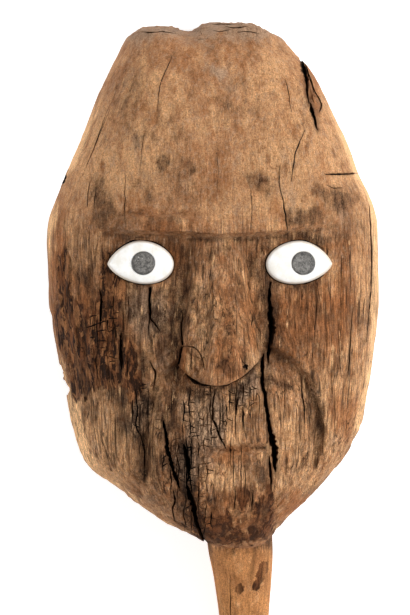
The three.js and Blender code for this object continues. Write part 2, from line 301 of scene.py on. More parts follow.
def sized(kind, name, x, y, z):
    across, along, into, seed = noiseSizes[name]
    return kind(x / across, y / along, z / into, seed)


def terrace(value, steps):
    # flat shelves with steep edges
    level = np.floor(value * steps)
    return (level + ease(value * steps - level, 0.6, 1)) / steps


def weather(x, y, z, cap):
    # how far the worn surface lies under the first one, and how deep in a furrow each spot is
    grainX = x + 3.4 * sized(noise, "drift", x, y, z)
    furrow = sized(layeredNoise, "furrow", grainX, y, z)
    groove = 1 - ease(np.abs(sized(noise, "groove", grainX, y, z)), 0, 0.3)
    fibre = sized(noise, "fibre", grainX, y, z)
    facet = sized(noise, "facet", x, y, z)
    lumps = sized(layeredNoise, "lumps", x, y, z)
    shelves = terrace(0.5 + 0.5 * sized(layeredNoise, "shelves", grainX, y, z), 4)
    lower = 1 - ease(y, 4, 26)
    rot = patchMask(x, y, rotZones) * ease(z, 30, 50)
    flake = patchMask(x, y, flakeZones) * ease(z, 8, 20)
    (furrows, moreFurrows), (grooves, moreGrooves) = wear["furrows"], wear["grooves"]
    depth = wear["skin"] + wear["facets"] * facet
    depth = depth + (furrows + moreFurrows * lower) * furrow + wear["fibres"] * fibre
    depth = depth + (grooves + moreGrooves * lower) * groove
    depth = depth + wear["lumps"] * lumps + rot * (wear["rot"] * shelves - wear["rotLift"])
    depth = depth + flake * (wear["flakes"] * shelves - wear["flakeLift"])
    depth = depth + ease(y, 124, 134) * wear["endGrain"] * sized(layeredNoise, "endGrain", x, y, z)
    depth = depth + cap * (wear["caps"] + wear["capLumps"] * lumps)
    dip = 0.45 * furrow + 0.25 * fibre + 0.7 * groove * lower
    dip = dip + (rot * 1.3 + flake * 2.2) * (shelves - 0.42)
    return np.maximum(depth, 0.1), dip


def addTube(bm, rings):
    # a grid wrapped round, with its seam welded and both ends drawn together
    rings = np.asarray(rings, float)
    first, last = (np.broadcast_to(ring.mean(axis=0), ring.shape) for ring in (rings[0], rings[-1]))
    rings = np.concatenate([first[None], rings, last[None]])
    rings = np.concatenate([rings, rings[:, :1]], axis=1) * mm
    rows, columns = rings.shape[:2]
    sheet = bmesh.ops.create_grid(bm, x_segments=columns - 1, y_segments=rows - 1, size=1)["verts"]
    for vert, place in zip(sheet, rings.reshape(-1, 3)):
        vert.co = place
    bmesh.ops.remove_doubles(bm, verts=sheet, dist=1e-7)


def makeObject(name, bm, smooth=True):
    bmesh.ops.recalc_face_normals(bm, faces=bm.faces)
    mesh = bpy.data.meshes.new(name)
    bm.to_mesh(mesh)
    bm.free()
    if smooth:
        mesh.shade_smooth()
    made = bpy.data.objects.new(name, mesh)
    bpy.context.scene.collection.objects.link(made)
    return made


def stretch(start, end, step):
    # even places from start to just before end
    return np.linspace(start, end, max(2, round(abs(end - start) / step)), endpoint=False)


def shrinking(ring, shares):
    # copies of a ring drawn in towards its middle
    middle = ring.mean(axis=0)
    return middle + (ring - middle) * shares[:, None, None]


def outwards(rings):
    across = np.roll(rings, -1, axis=1) - np.roll(rings, 1, axis=1)
    along = np.gradient(rings, axis=0)
    normal = np.cross(across, along)
    return normal / np.maximum(np.linalg.norm(normal, axis=-1, keepdims=True), 1e-9)


def insideBox(rings):
    low, high = (np.array(corner) / mm for corner in cadBox)
    return np.clip(rings, low + 0.02, high - 0.02)


def headRings():
    step = head["rowStep"]
    y = np.concatenate([
        stretch(chinY, head["fineChin"], 0.45 * step), stretch(head["fineChin"], head["fineCrown"], step),
        stretch(head["fineCrown"], crownY, 0.6 * step), [crownY],
    ])[:, None]
    left, right = leftEdge(y), rightEdge(y)
    middle, half = (left + right) / 2, (right - left) / 2
    s = np.linspace(-1, 1, head["frontColumns"] + 1)[None]
    t = s * (1.2 - 0.2 * s * s)  # columns crowd together towards both edges
    x = middle + half * t
    z = rimHeight(y) + (frontHeight(y) - rimHeight(y)) * domeAt(t)
    inset = np.minimum(head["backInset"], 0.3 * half)

    down = (np.arange(1, head["sideColumns"] + 1) / (head["sideColumns"] + 1))[None]
    lean = inset * down ** 1.6
    sideZ = rimHeight(y) * (1 - down) + backHeight(y) * down
    over = np.linspace(0, 1, head["backColumns"] + 1)[None]
    backX = (right - inset) * (1 - over) + (left + inset) * over
    backZ = backHeight(y) + 0 * over
    xs = np.concatenate([x, right - lean, backX, (left + lean)[:, ::-1]], axis=1)
    zs = np.concatenate([z, sideZ, backZ, sideZ[:, ::-1]], axis=1)
    ys = y + np.zeros_like(xs)

    # both ends are closed with shrinking rings
    flat = np.stack([xs, ys, zs], axis=-1)
    shares = np.linspace(1, 0.08, head["capRows"])[1:]
    flat = np.concatenate([shrinking(flat[0], shares)[::-1], flat, shrinking(flat[-1], shares)])
    cap = np.zeros(flat.shape[:2])
    cap[:head["capRows"] - 1] = 1
    cap[1 - head["capRows"]:] = 1

    xs, ys, zs = np.moveaxis(flat, -1, 0)
    up, edge = ease(zs, 0, 40), crownWear(xs)
    lips = lipWear(xs) * np.exp(-((ys - head["lipY"]) / head["lipHalf"]) ** 2)
    ys = ys + np.where(edge < 0, 1, up) * ease(ys, 122, crownY) * edge + up * lips
    lift = (carving(xs, ys) + fineCarving(xs, ys)) * ease(zs, 22, 40) * (1 - cap)
    lift[:, len(s[0]):] = 0
    return np.stack([xs, ys, zs + lift], axis=-1), cap


def worn(rings, cap):
    # the back stays flat, with only a trace of grain
    x, y, z = np.moveaxis(rings, -1, 0)
    depth, _ = weather(x, y, z, cap)
    raised = ease(z, 0.5, 9)
    depth = depth * raised + 0.12 * (1 - raised) * sized(noise, "back", x, y, z)
    return insideBox(rings - outwards(rings) * depth[..., None])


def noseRings():
    share = np.linspace(0, 1, nose["rows"])[:, None]
    climb = np.linspace(0, 1, nose["sideColumns"])[None]
    over = np.linspace(0, 1, nose["ridgeColumns"])[None]
    half = nose["bridgeHalf"] + (nose["footHalf"] - nose["bridgeHalf"]) * share ** 1.3
    rise = nose["bridgeRise"] + (nose["tipRise"] - nose["bridgeRise"]) * share ** 1.1
    rise = rise * (1 - 0.2 * ease(share, 0.86, 1.02))
    leftRidge = nose["ridgeShift"] - nose["ridgeHalf"]
    rightRidge = nose["ridgeShift"] + nose["ridgeHalf"]
    leftPlane, rightPlane = (smoothThrough(nose[plane]) for plane in ("leftPlane", "rightPlane"))
    spans = ((-half, leftRidge, climb), (leftRidge, rightRidge, over), (rightRidge, half, climb))
    x = np.concatenate([a * (1 - k) + b * k + 0 * share for a, b, k in spans], axis=1)
    lift = np.concatenate([
        rise * leftPlane(climb),
        rise + 0.3 * np.sin(math.pi * over) + 0 * share,
        rise * rightPlane(1 - climb),
    ], axis=1)
    y = nose["bridgeY"] * (1 - share) + noseFoot(x) * share
    z = surfaceAt(x, y) + lift
    # a chipped left wing and a flat worn along the ridge
    broken = patchMask(x, y, nose["brokenWing"], 0.25)
    z = z - broken * (2.2 + 2 * layeredNoise(x / 3, y / 2.6, z * 0, 71))
    z = z - 0.8 * np.exp(-((x - 1) / 2.2) ** 2) * ease(y, 0, -20) + 0.5 * noise(x / 6, y / 30, 0, 15)
    drop = np.linspace(0, 1, nose["wallColumns"] + 2)[None, 1:]
    leftWall = z[:, :1] * (1 - drop) + nose["root"] * drop
    rightWall = z[:, -1:] * (1 - drop) + nose["root"] * drop
    xs = np.concatenate([x, x[:, -1:] + 0 * drop, x[:, :1] + 0 * drop], axis=1)
    ys = np.concatenate([y, y[:, -1:] + 0 * drop, y[:, :1] + 0 * drop], axis=1)
    zs = np.concatenate([z, rightWall, leftWall[:, ::-1]], axis=1)
    rings = np.stack([xs, ys, zs], axis=-1)
    shares = np.linspace(1, 0.1, 10)[1:]
    foot = shrinking(rings[-1], shares)
    swell = np.sin(math.pi * np.minimum(1, 2 * (1 - shares))) * (shares > 0.5)
    foot[..., 1] -= 0.8 * swell[:, None]
    rings = np.concatenate([rings, foot])
    x, y, z = np.moveaxis(rings, -1, 0)
    fibre = sized(noise, "noseFibre", x, y, z)
    lumps = sized(layeredNoise, "noseLumps", x, y, z)
    return insideBox(rings - outwards(rings) * (0.18 * fibre + 0.28 * lumps)[..., None])


# the stake's stations: Y, middle X, half width, middle Z and half height, from its blunt end into the chin
stake = {
    "stations": [
        [-311, 15.9, 5.6, 13.8, 5.8], [-309, 15.9, 7.4, 13.8, 7.6], [-302, 15.8, 9, 14.2, 9.4],
        [-275, 15.2, 10.8, 15.5, 11], [-240, 14.8, 12.5, 17, 12.6], [-200, 14, 14.6, 18.5, 14.4],
        [-180, 13.2, 16.7, 19.5, 15.6], [-160, 11.8, 18.8, 20.5, 16.8], [-140, 10.5, 19.2, 20.5, 17],
        [-112, 9, 18, 20, 15],
    ],
    "sides": 64,
    "step": 1.7,
    "endStep": 0.6,
}


def stakeAt(y):
    # its middle X, half width, middle Z and half height
    stations = np.array(stake["stations"])
    return [smoothThrough(stations[:, [0, k]])(y) for k in (1, 2, 3, 4)]


def stakeRings():
    end, shoulder, root = (stake["stations"][k][0] for k in (0, 2, -1))
    y = np.concatenate([
        stretch(end, shoulder, stake["endStep"]), stretch(shoulder, root, stake["step"]), [root],
    ])[:, None]
    x, halfX, z, halfZ = stakeAt(y)
    turn = (np.arange(stake["sides"]) / stake["sides"] * 2 * math.pi)[None]
    whittled = 1 - 0.035 * (0.5 + 0.5 * noise(3 * np.cos(turn), y / 26, 3 * np.sin(turn), 83))
    grain = 0.012 * noise(9 * np.cos(turn), y / 40, 9 * np.sin(turn), 37)
    rings = np.stack([
        x - halfX * whittled * (1 - grain) * np.cos(turn),
        y + 0 * turn,
        z + halfZ * whittled * (1 - grain) * np.sin(turn),
    ], axis=-1)
    return np.concatenate([shrinking(rings[0], np.linspace(0.1, 1, 6)[:-1]), rings])


# Heights of the worn surfaces, for what is cut into them

def wornTop(x, y):
    z = surfaceAt(x, y) + fineCarving(x, y)
    return z - weather(x, y, z, 0 * z)[0]


noseFront = noseRings()[:nose["rows"], :2 * nose["sideColumns"] + nose["ridgeColumns"]].reshape(-1, 3)


def noseTop(x, y):
    # the height of the nearest place on the nose
    return noseFront[np.argmin((noseFront[:, :1] - x) ** 2 + (noseFront[:, 1:2] - y) ** 2, axis=0), 2]


def stakeTop(x, y):
    middle, halfX, z, halfZ = stakeAt(y)
    t = np.clip((x - middle) / halfX, -0.98, 0.98)
    return z + halfZ * np.sqrt(1 - t * t)


# Splits

splits = [
    # depth, then x, y and width along the split
    (20, [(28.6, -10, 1.2), (27.5, -16, 1.9), (28, -26, 3.1), (28.9, -35, 4.2), (28.2, -42, 3.4),
          (27.1, -49, 2.2), (26.9, -56, 0.7)]),
    (22, [(24.6, -50, 1.1), (23.4, -57, 2.3), (24, -67, 2.6), (25.4, -77, 2.3), (27.1, -89, 2.6),
          (28.6, -96, 3.7), (30.3, -104, 4.6), (30.6, -109, 3.4), (31.2, -116, 0.6)]),
    (12, [(27.3, -107, 0.8), (27.9, -114, 2), (28.1, -119, 1.6), (28.4, -126, 0.4)]),
    (16, [(-31.4, -87, 0.9), (-30.2, -94, 2), (-29, -103, 2.6), (-26.6, -113, 2.9), (-24.3, -120, 2),
          (-22, -126, 0.6)]),
    (20, [(-19, -121, 0.8), (-17, -129, 2.8), (-15, -134, 4), (-13.4, -142, 3.2), (-11, -150, 2.4),
          (-7.6, -158, 2)]),
    (14, [(-20.4, -100, 0.6), (-18.5, -106, 3), (-17.6, -112, 3.6), (-17.2, -117, 1.6), (-19, -122, 0.8)]),
    (12, [(-38.9, -13, 1.9), (-39.1, -21, 1.9), (-38.9, -29, 1.9), (-37, -32.6, 1.2), (-33, -38, 0.5)]),
    (8, [(-39.3, -29, 0.7), (-39.6, -36, 0.8), (-39, -42, 0.4)]),
    (18, [(44.6, 124.5, 1.2), (46, 120.5, 1.6), (47.7, 111.5, 3.9), (49.2, 103.4, 3), (49.4, 96, 1.5),
          (50, 90, 0.6)]),
    (12, [(47.6, 117.5, 0.5), (49.4, 113, 1.3), (50.4, 107, 1.5), (52.4, 101, 0.9), (53.2, 96, 0.4)]),
    (12, [(50.8, 91, 0.8), (52, 86, 2.6), (53.6, 80, 1.8), (54.8, 75, 0.5)]),
    (9, [(51.4, 107, 0.8), (53, 99.5, 1.3), (56, 94, 1.1), (57.6, 90, 1.3), (55.8, 85, 0.6)]),
    (4, [(51.6, 97, 0.4), (53.8, 94.6, 0.8), (56.4, 94.4, 0.4)]),
    (9, [(-55.1, -38, 0.9), (-55.4, -46, 1.8), (-55.1, -53, 2.7), (-54.9, -59, 0.7)]),
    (9, [(-20.9, -27, 0.5), (-21.5, -37, 1.2), (-21, -45, 1.5), (-22.6, -54, 1.3), (-23.4, -59, 0.6)]),
    (8, [(-66.8, -14, 0.8), (-66.2, -22, 1.6), (-66.6, -31.4, 1.2), (-67, -36, 0.4)]),
    (5, [(-75.3, -35.6, 0.6), (-69, -33.6, 0.7), (-63.6, -32.2, 0.5)]),
    (5, [(-50.9, -18, 0.5), (-50.7, -28, 0.7), (-51, -33, 0.3)]),
    (5, [(-58.8, -32.6, 0.5), (-58.2, -38, 0.9), (-58, -43, 0.5)]),
    (6, [(-38.8, -54.5, 0.6), (-35.7, -61.5, 1.2), (-36.9, -70, 0.7)]),
    (6, [(-46.8, -70, 0.5), (-46.2, -80, 0.9), (-46.6, -90, 0.9), (-43.5, -97, 0.8), (-41.8, -108, 1.1),
         (-42.2, -122, 0.4)]),
    (8, [(-2.1, -69.6, 0.5), (-3.8, -77, 1), (-3.9, -84, 1.2), (-1.6, -92, 1.3), (1, -98, 1.1),
         (3.2, -102.6, 0.6)]),
    (6, [(10.2, -74, 0.9), (9.4, -79, 1.3), (8.9, -84, 0.5)]),
    (6, [(-26, -126, 0.5), (-25, -131, 1.3), (-26.4, -137, 1), (-25, -144, 0.6)]),
    (4, [(8.4, -126, 0.4), (8.6, -131, 0.8), (8.2, -136, 0.4)]),
    (4, [(17.6, -127, 0.5), (18.2, -132, 1), (18, -138, 0.5)]),
    (6, [(59, 50.2, 0.4), (64, 50.3, 1), (71, 50.9, 1.3), (79.5, 52.4, 1.1), (83, 53, 0.8)]),
    (4, [(60, 44, 0.3), (64, 42.6, 0.6), (69, 42.8, 0.3)]),
    (4, [(47.7, 75, 0.3), (45, 69, 0.6), (42.2, 61.4, 0.8), (40.8, 54, 0.6), (39.7, 46, 0.3)]),
    (4, [(33.4, 55, 0.25), (33, 46.9, 0.5), (34.8, 37.1, 0.6), (36.3, 29.1, 0.9), (37.4, 22, 0.6),
         (37.7, 17, 0.3)]),
    (3, [(36.4, 104, 0.3), (38.4, 97, 0.5), (39, 91, 0.5), (40.2, 85, 0.3)]),
    (3, [(-26.7, 117, 0.3), (-31, 106, 0.5), (-34, 98, 0.5), (-34.9, 85, 0.3)]),
    (3, [(-42.4, 72, 0.25), (-43.6, 62, 0.45), (-44.6, 50, 0.25)]),
    (3, [(-52.6, 50, 0.3), (-53, 36, 0.5), (-52.6, 22, 0.3)]),
    (3, [(17.4, 42, 0.25), (17.8, 30, 0.45), (16.9, 18.5, 0.3)]),
    (3, [(-1.8, 62, 0.2), (-1.2, 52, 0.3), (-1.5, 40, 0.2)]),
    (7, [(84.6, 35, 0.6), (85.4, 22, 1.1), (85.9, 6, 1.3), (85.6, -12, 1.1), (84.2, -30, 0.8),
         (83, -44, 0.3)]),
    (4, [(74.9, -24, 0.4), (73.4, -38, 0.7), (72.9, -50, 1), (71.8, -63, 0.4)]),
    (5, [(45.4, -64, 0.4), (46, -72, 1.2), (47, -80, 1.1), (47.2, -89, 0.4)]),
    (4, [(54.6, -17, 0.3), (54, -26, 0.6), (52.6, -37, 0.3)]),
    (3, [(46, -14, 0.4), (45.8, -20, 0.3)]),
    (3, [(36.9, -13, 0.5), (36.8, -19, 0.4)]),
    (3, [(-72.6, 47, 0.4), (-74, 38, 0.7), (-74.2, 32, 0.4)]),
    (3, [(-69, 44, 0.3), (-70, 36, 0.5), (-70.4, 31, 0.3)]),
    (4, [(-84.4, -8, 0.4), (-85.6, -20, 0.8), (-84.6, -33, 0.5)]),
    (3, [(64, -70, 0.3), (64.6, -84, 0.5), (64, -97, 0.3)]),
    (3, [(14, -112, 0.3), (14.4, -121, 0.5), (13.6, -130, 0.3)]),
    (3, [(-58, -84, 0.3), (-58.4, -97, 0.5), (-57.6, -108, 0.3)]),
]
# splits that are drawn at random: lengths, widths and depths
edgeSplits = {"count": 20, "length": (14, 60), "width": (0.3, 0.9), "depth": 4}
faceSplits = {"count": 36, "length": (6, 34), "width": (0.2, 0.65), "depth": 2.4}
blockCracks = {"length": (7, 19), "width": (0.35, 1.15), "depth": 3.6, "rung": (2.2, 5.4)}
cheekZones = [(-69, -44, 13, 15), (-62, -24, 6, 7)]
crownSplits = [
    (14, [(-11.6, 140, 1.6), (-12.8, 135, 1.5), (-11, 131.5, 1), (-10.2, 128.5, 0.5)]),
    (14, [(-32, 131.6, 0.5), (-24, 130.4, 0.9), (-17, 129.2, 1.3), (-9.6, 128.8, 0.6)]),
    (14, [(-22, 132.8, 0.5), (-17, 131.8, 1.1), (-12.4, 131.6, 0.6)]),
    (10, [(-36, 136.4, 0.4), (-30, 135.2, 0.8), (-25, 135.6, 0.4)]),
    (10, [(3, 134.2, 0.4), (9, 133.2, 0.8), (15, 134, 0.4)]),
    (10, [(17, 137.6, 0.4), (21, 136, 0.8), (25, 133.4, 0.5)]),
    (10, [(-4, 136.8, 0.4), (2, 137.4, 0.7), (8, 136.8, 0.4)]),
    (10, [(-44, 131.6, 0.3), (-37, 130.8, 0.7), (-31, 131.4, 0.4)]),
    (10, [(-28, 133.4, 0.3), (-23, 132.8, 0.6), (-19, 133.6, 0.3)]),
    (10, [(-4, 131.8, 0.3), (1, 131.2, 0.6), (6, 132, 0.3)]),
    (10, [(10, 130.4, 0.3), (16, 131, 0.6), (22, 130.2, 0.3)]),
    (10, [(-18, 126.8, 0.3), (-12, 126.4, 0.7), (-6, 126.9, 0.3)]),
]
noseSplits = [
    (2.6, [(-25.4, -45.5, 0.4), (-19, -45.8, 0.8), (-13.5, -47, 0.9), (-10, -52, 0.7), (-8.4, -59, 0.4)]),
    (2, [(-16.4, -49, 0.3), (-16, -54, 0.6), (-16.6, -59, 0.4)]),
    (2, [(-12, -12, 0.2), (-12.4, -24, 0.4), (-13, -36, 0.2)]),
    (2, [(8.6, -18, 0.2), (9.2, -30, 0.4), (9, -42, 0.2)]),
    (2.4, [(18.6, -27, 0.3), (18, -31, 0.7), (17.6, -35, 0.3)]),
    (2, [(-3.4, -6, 0.2), (-3.8, -16, 0.35), (-3.6, -25, 0.2)]),
    (2.4, [(11, -50, 0.3), (12.4, -54, 0.6), (14.6, -56, 0.5)]),
]
# under the nose: x, how far below its foot, width
footSplit = [
    (-19, -0.6, 0.7), (-13, -1.2, 2), (-6, -0.8, 1), (2, -0.6, 0.5),
    (11, -0.7, 0.6), (17, -0.6, 0.4), (21, -0.5, 0.3),
]
stakeSplits = [
    (4, [(6, -176, 0.3), (6.4, -205, 0.7), (7.6, -238, 0.3)]),
    (4, [(19, -214, 0.3), (18.6, -240, 0.6), (18.8, -275, 0.3)]),
]
bladeRounds = 12


def addBlade(blades, path, depth, level, chance, clear=5):
    # a narrow wedge, blunt above the surface and sharp at its foot, along points of x, y and width
    points = np.array(path, float)
    run = np.concatenate([[0], np.cumsum(np.hypot(*np.diff(points[:, :2], axis=0).T))])
    count = max(3, int(run[-1] / 1.2) + 1)
    at = np.linspace(0, run[-1], count)
    x, y, width = (smoothThrough(np.stack([run, points[:, k]], axis=1))(at) for k in range(3))
    heading = np.stack([np.gradient(x), np.gradient(y)], axis=-1)
    heading /= np.linalg.norm(heading, axis=-1, keepdims=True)
    aside = np.stack([heading[:, 1], -heading[:, 0]], axis=-1)
    left, right = (np.array([chance.uniform(0.55, 1.3) for _ in at]) * width / 2 for _ in range(2))
    steep = np.abs(level(x + 1, y) - level(x - 1, y)) / 2
    drift = 0.45 * noise(at / 3.5, chance.uniform(0, 99), 0, 7) * np.minimum(1, width + 0.4) / (1 + steep)
    x, y = x + drift * aside[:, 0], y + drift * aside[:, 1]
    top = level(x, y)
    reach = depth * np.clip(0.3 + width / 2.4, 0, 1)
    ends = np.minimum(1, np.minimum(at, run[-1] - at) / 2 + 0.15)
    rings = []
    for wide, height in ((-left, clear), (right, clear), (right, -0.4), (0 * at, None), (-left, -0.4)):
        z = top - reach * ends if height is None else top + height
        rings.append(np.stack([x + wide * aside[:, 0], y + wide * aside[:, 1], z], axis=-1))
    blades.append(np.stack(rings, axis=1))


def addBlockCracks(blades, chance):
    # cracks along the grain with rungs between them, where rot has broken the wood into blocks
    for zones, step in ((rotZones, 3.9), (cheekZones, 6)):
        for cx, cy, rx, ry in zones:
            for i in range(int(2 * rx / step) + 1):
                x = cx - rx + (i + chance.uniform(0, 0.4)) * step
                reach = ry * math.sqrt(max(0.05, 1 - ((x - cx) / (1.08 * rx)) ** 2))
                y = cy + reach
                while y > cy - reach:
                    length = chance.uniform(*blockCracks["length"])
                    wide = chance.uniform(*blockCracks["width"])
                    path = [(x + chance.uniform(-0.6, 0.6), y - k * length, wide * w)
                            for k, w in ((0, 0.3), (0.3, 1), (0.6, 0.7), (1, 0.3))]
                    addBlade(blades, path, blockCracks["depth"], wornTop, chance)
                    y -= length + chance.uniform(0.4, 2.5)
                y = cy + reach
                while y > cy - reach:
                    across = chance.uniform(0.8, 1.1) * step
                    wide = chance.uniform(*blockCracks["width"])
                    tilt = chance.uniform(-2, 2)
                    if chance.random() < 0.6:
                        start = x + chance.uniform(-0.8, 0.8)
                        path = [(start, y, 0.4 * wide), (start + across / 2, y + 0.7 * tilt, 0.75 * wide),
                                (start + across, y + tilt, 0.4 * wide)]
                        addBlade(blades, path, 0.6 * blockCracks["depth"], wornTop, chance)
                    y -= chance.uniform(*blockCracks["rung"])


def addEdgeSplits(blades, chance):
    # drying cracks along the grain on the sides of the head
    for _ in range(edgeSplits["count"]):
        length = chance.uniform(*edgeSplits["length"])
        y = chance.uniform(-120, 110 - length)
        edge = leftEdge if chance.random() < 0.5 else rightEdge
        if edge is rightEdge and y < 56 < y + length + 12:
            continue
        sign = 1 if edge is leftEdge else -1
        inset = chance.uniform(3.5, 15)
        wide = chance.uniform(*edgeSplits["width"])
        path = [(float(edge(y + k * length)) + sign * inset + chance.uniform(-0.6, 0.6),
                 y + k * length, wide * w) for k, w in ((0, 0.3), (0.35, 1), (0.7, 0.8), (1, 0.3))]
        addBlade(blades, path, edgeSplits["depth"], surfaceAt, chance)


def addFaceSplits(blades, chance):
    # finer ones on the cheeks and chin
    path = [(x, float(noseFoot(x)) + below, width) for x, below, width in footSplit]
    addBlade(blades, path, 6, wornTop, chance, 1.2)
    for _ in range(faceSplits["count"]):
        length = chance.uniform(*faceSplits["length"])
        x, y = chance.uniform(-76, 76), chance.uniform(-138, -14 - length)
        wide = chance.uniform(*faceSplits["width"])
        if abs(x) < 30 and y + length > -64 or abs(x) + max(0, -y - 70) > 80:
            continue
        lean = chance.uniform(-0.04, 0.04) * length
        path = [(x + lean * k, y + k * length, wide * w)
                for k, w in ((0, 0.3), (0.4, 1), (0.75, 0.7), (1, 0.3))]
        addBlade(blades, path, faceSplits["depth"], wornTop, chance)


def addLump(bm, place, size, roughness, seed, fineness):
    # a rough egg, used to take out holes and chips
    egg = bmesh.ops.create_icosphere(bm, subdivisions=fineness, radius=1)["verts"]
    for vert in egg:
        x, y, z = vert.co
        bump = 1 + roughness * float(layeredNoise(np.float64(2.2 * x), 2.2 * y, 2.2 * z, seed))
        vert.co = [(p + c * s * bump) * mm for p, c, s in zip(place, (x, y, z), size)]


# chips and holes: middle, half sizes, roughness
bites = [
    ((-93, -69.8, 13), (9.4, 6, 27), 0.4),
    ((-93.2, -61.5, 13), (4.6, 4.6, 24), 0.4),
    ((64.8, -118.6, 18), (2.6, 3.4, 22), 0.5),
    ((50, -135.6, 28), (2.6, 3, 18), 0.5),
    ((82.2, -94, 16), (2.4, 4.2, 20), 0.5),
    ((74.4, -106, 14), (2, 2.6, 16), 0.5),
]
holes = [
    ((-89.6, 49.6, 30), (2.8, 3.3, 13), 0.3),
    ((-84.5, -64, 60), (2.6, 3.2, 9), 0.3),
    ((-30, -61, 84), (2.6, 2.2, 3), 0.4),
    ((-75.5, -75.5, 60), (1.6, 3.2, 5), 0.35),
    ((-58, -70, 76), (2, 4, 3), 0.4),
    ((51.8, 98, 51.5), (2.2, 7, 2.6), 0.4),
    ((14.8, -57, 97), (2.4, 1.5, 4), 0.6),
]


def cut(target, cutter, kind):
    boolean = target.modifiers.new(kind.lower(), "BOOLEAN")
    boolean.operation = kind
    boolean.object = cutter
    boolean.solver = "MANIFOLD"
    boolean.material_mode = "TRANSFER"
    bpy.context.view_layer.update()
    shaped = bpy.data.meshes.new_from_object(target.evaluated_get(bpy.context.evaluated_depsgraph_get()))
    target.modifiers.clear()
    before = target.data
    target.data = shaped
    bpy.data.meshes.remove(before)
    bpy.data.objects.remove(cutter)


def keepLargest(target):
    # drops the slivers that the cuts have set free
    bm = bmesh.new()
    bm.from_mesh(target.data)
    waiting, islands = set(bm.verts), []
    while waiting:
        island = [waiting.pop()]
        for vert in island:
            for edge in vert.link_edges:
                other = edge.other_vert(vert)
                if other in waiting:
                    waiting.remove(other)
                    island.append(other)
        islands.append(island)
    islands.sort(key=len)
    loose = [vert for island in islands[:-1] for vert in island]
    bmesh.ops.delete(bm, geom=loose, context="VERTS")
    bm.to_mesh(target.data)
    bm.free()
    stage(f"{len(islands) - 1} slivers dropped, {len(loose)} points")


# Eyes

eye = {
    "x": 44, "length": 37, "rise": 13, "drop": 11.2, "tilt": 6, "proud": 2.6, "body": 3.4, "dome": 2.4,
    "gap": 0.45, "around": 112,
}
disc = {"x": 1.9, "y": 0.4, "radius": 6.4, "thick": 1.5, "recess": 1.1, "gap": 0.3}


def bezier(a, b, c, d, count):
    k = np.linspace(0, 1, count, endpoint=False)[:, None]
    a, b, c, d = (np.array(p, float) for p in (a, b, c, d))
    return a * (1 - k) ** 3 + 3 * b * k * (1 - k) ** 2 + 3 * c * k * k * (1 - k) + d * k ** 3


def almond(side):
    # points round the eye, its tip on the outer side of the face
    half, up, down = eye["length"] / 2, eye["rise"], -eye["drop"]
    quarter = eye["around"] // 4
    points = np.concatenate([
        bezier((-half, 0), (-half + 1.2, 4.8), (-half * 0.46, up), (0, up), quarter),
        bezier((0, up), (half * 0.5, up), (half, up * 0.5), (half, 0), quarter),
        bezier((half, 0), (half, down * 0.62), (half * 0.62, down), (half * 0.15, down), quarter),
        bezier((half * 0.15, down), (-half * 0.39, down), (-half + 1.6, -5), (-half, 0), quarter),
    ])
    return points * [-side, 1]


def eyeFrame(side):
    face = float(surfaceAt(np.float64(side * eye["x"]), np.float64(0)))
    level = face + eye["proud"] - eye["body"] - eye["dome"]
    place = Matrix.Translation((side * eye["x"], 0, level))
    return place @ Matrix.Rotation(side * math.radians(eye["tilt"]), 4, "Y")


def placed(rings, side):
    turn = np.array(eyeFrame(side))
    return np.asarray(rings) @ turn[:3, :3].T + turn[:3, 3]


def shellRings(side):
    outline = almond(side)
    centre = np.array([disc["x"], disc["y"]])
    direction = outline - centre
    direction = direction / np.linalg.norm(direction, axis=1, keepdims=True)
    ring = centre + direction * (disc["radius"] + disc["gap"])
    body, top = eye["body"], eye["body"] + eye["dome"]
    rings = []

    def layer(points, z):
        rings.append(np.column_stack([points, np.broadcast_to(z, len(points))]))

    for k in (0.3, 0.6, 0.9, 0.985):
        layer(outline * k, 0)
    layer(outline, 0.35)
    layer(outline, 0.5 * body)
    layer(outline, body - 0.25)
    for k in np.linspace(0, 1, 20) ** 1.25:
        rim = 1 - 0.02 * (1 - k) ** 6
        points = outline * rim * (1 - k) + ring * k
        layer(points, body + eye["dome"] * np.sqrt(1 - (1 - k) ** 2.6) - 0.02 * (1 - k))
    inner = centre + (ring - centre) * 0.985
    layer(inner, top - 0.12)
    for depth in (0.5, 0.9, 1):
        layer(inner, top - disc["recess"] * depth)
    for k in (0.6, 0.2):
        layer(centre + (ring - centre) * k, top - disc["recess"])
    rings = np.array(rings)
    wave = 0.1 * noise(rings[..., 0] / 5, rings[..., 1] / 5, rings[..., 2] / 5, 91 + side)
    rings[..., 2] += wave * ease(rings[..., 2], body, top) * (rings[..., 2] > body)
    return placed(rings, side)


def discRings(side):
    turn = np.arange(72) / 72 * 2 * math.pi
    circle = np.stack([np.cos(turn), np.sin(turn)], axis=-1)
    chips = 1 - 0.03 * np.clip(noise(2.5 * circle[:, 0], 2.5 * circle[:, 1], 0, 51 + side), 0, 1)
    base = eye["body"] + eye["dome"] - disc["recess"] + disc["gap"]
    thick = disc["thick"]
    layers = [(0.3, 0), (0.7, 0), (0.97, 0), (1, 0.2), (1, thick - 0.35), (0.975, thick - 0.1)]
    layers += [(share, thick) for share in (0.93, 0.8, 0.65, 0.5, 0.35, 0.2, 0.08)]
    rings = []
    for share, z in layers:
        points = circle * share * disc["radius"] * chips[:, None] + [disc["x"], disc["y"]]
        pits = 0.07 * noise(points[:, 0] * 1.4, points[:, 1] * 1.4, 0, 57 + side) if z == thick else 0
        rings.append(np.column_stack([points, np.broadcast_to(base + z - 0.07 + pits, len(points))]))
    return placed(rings, side)


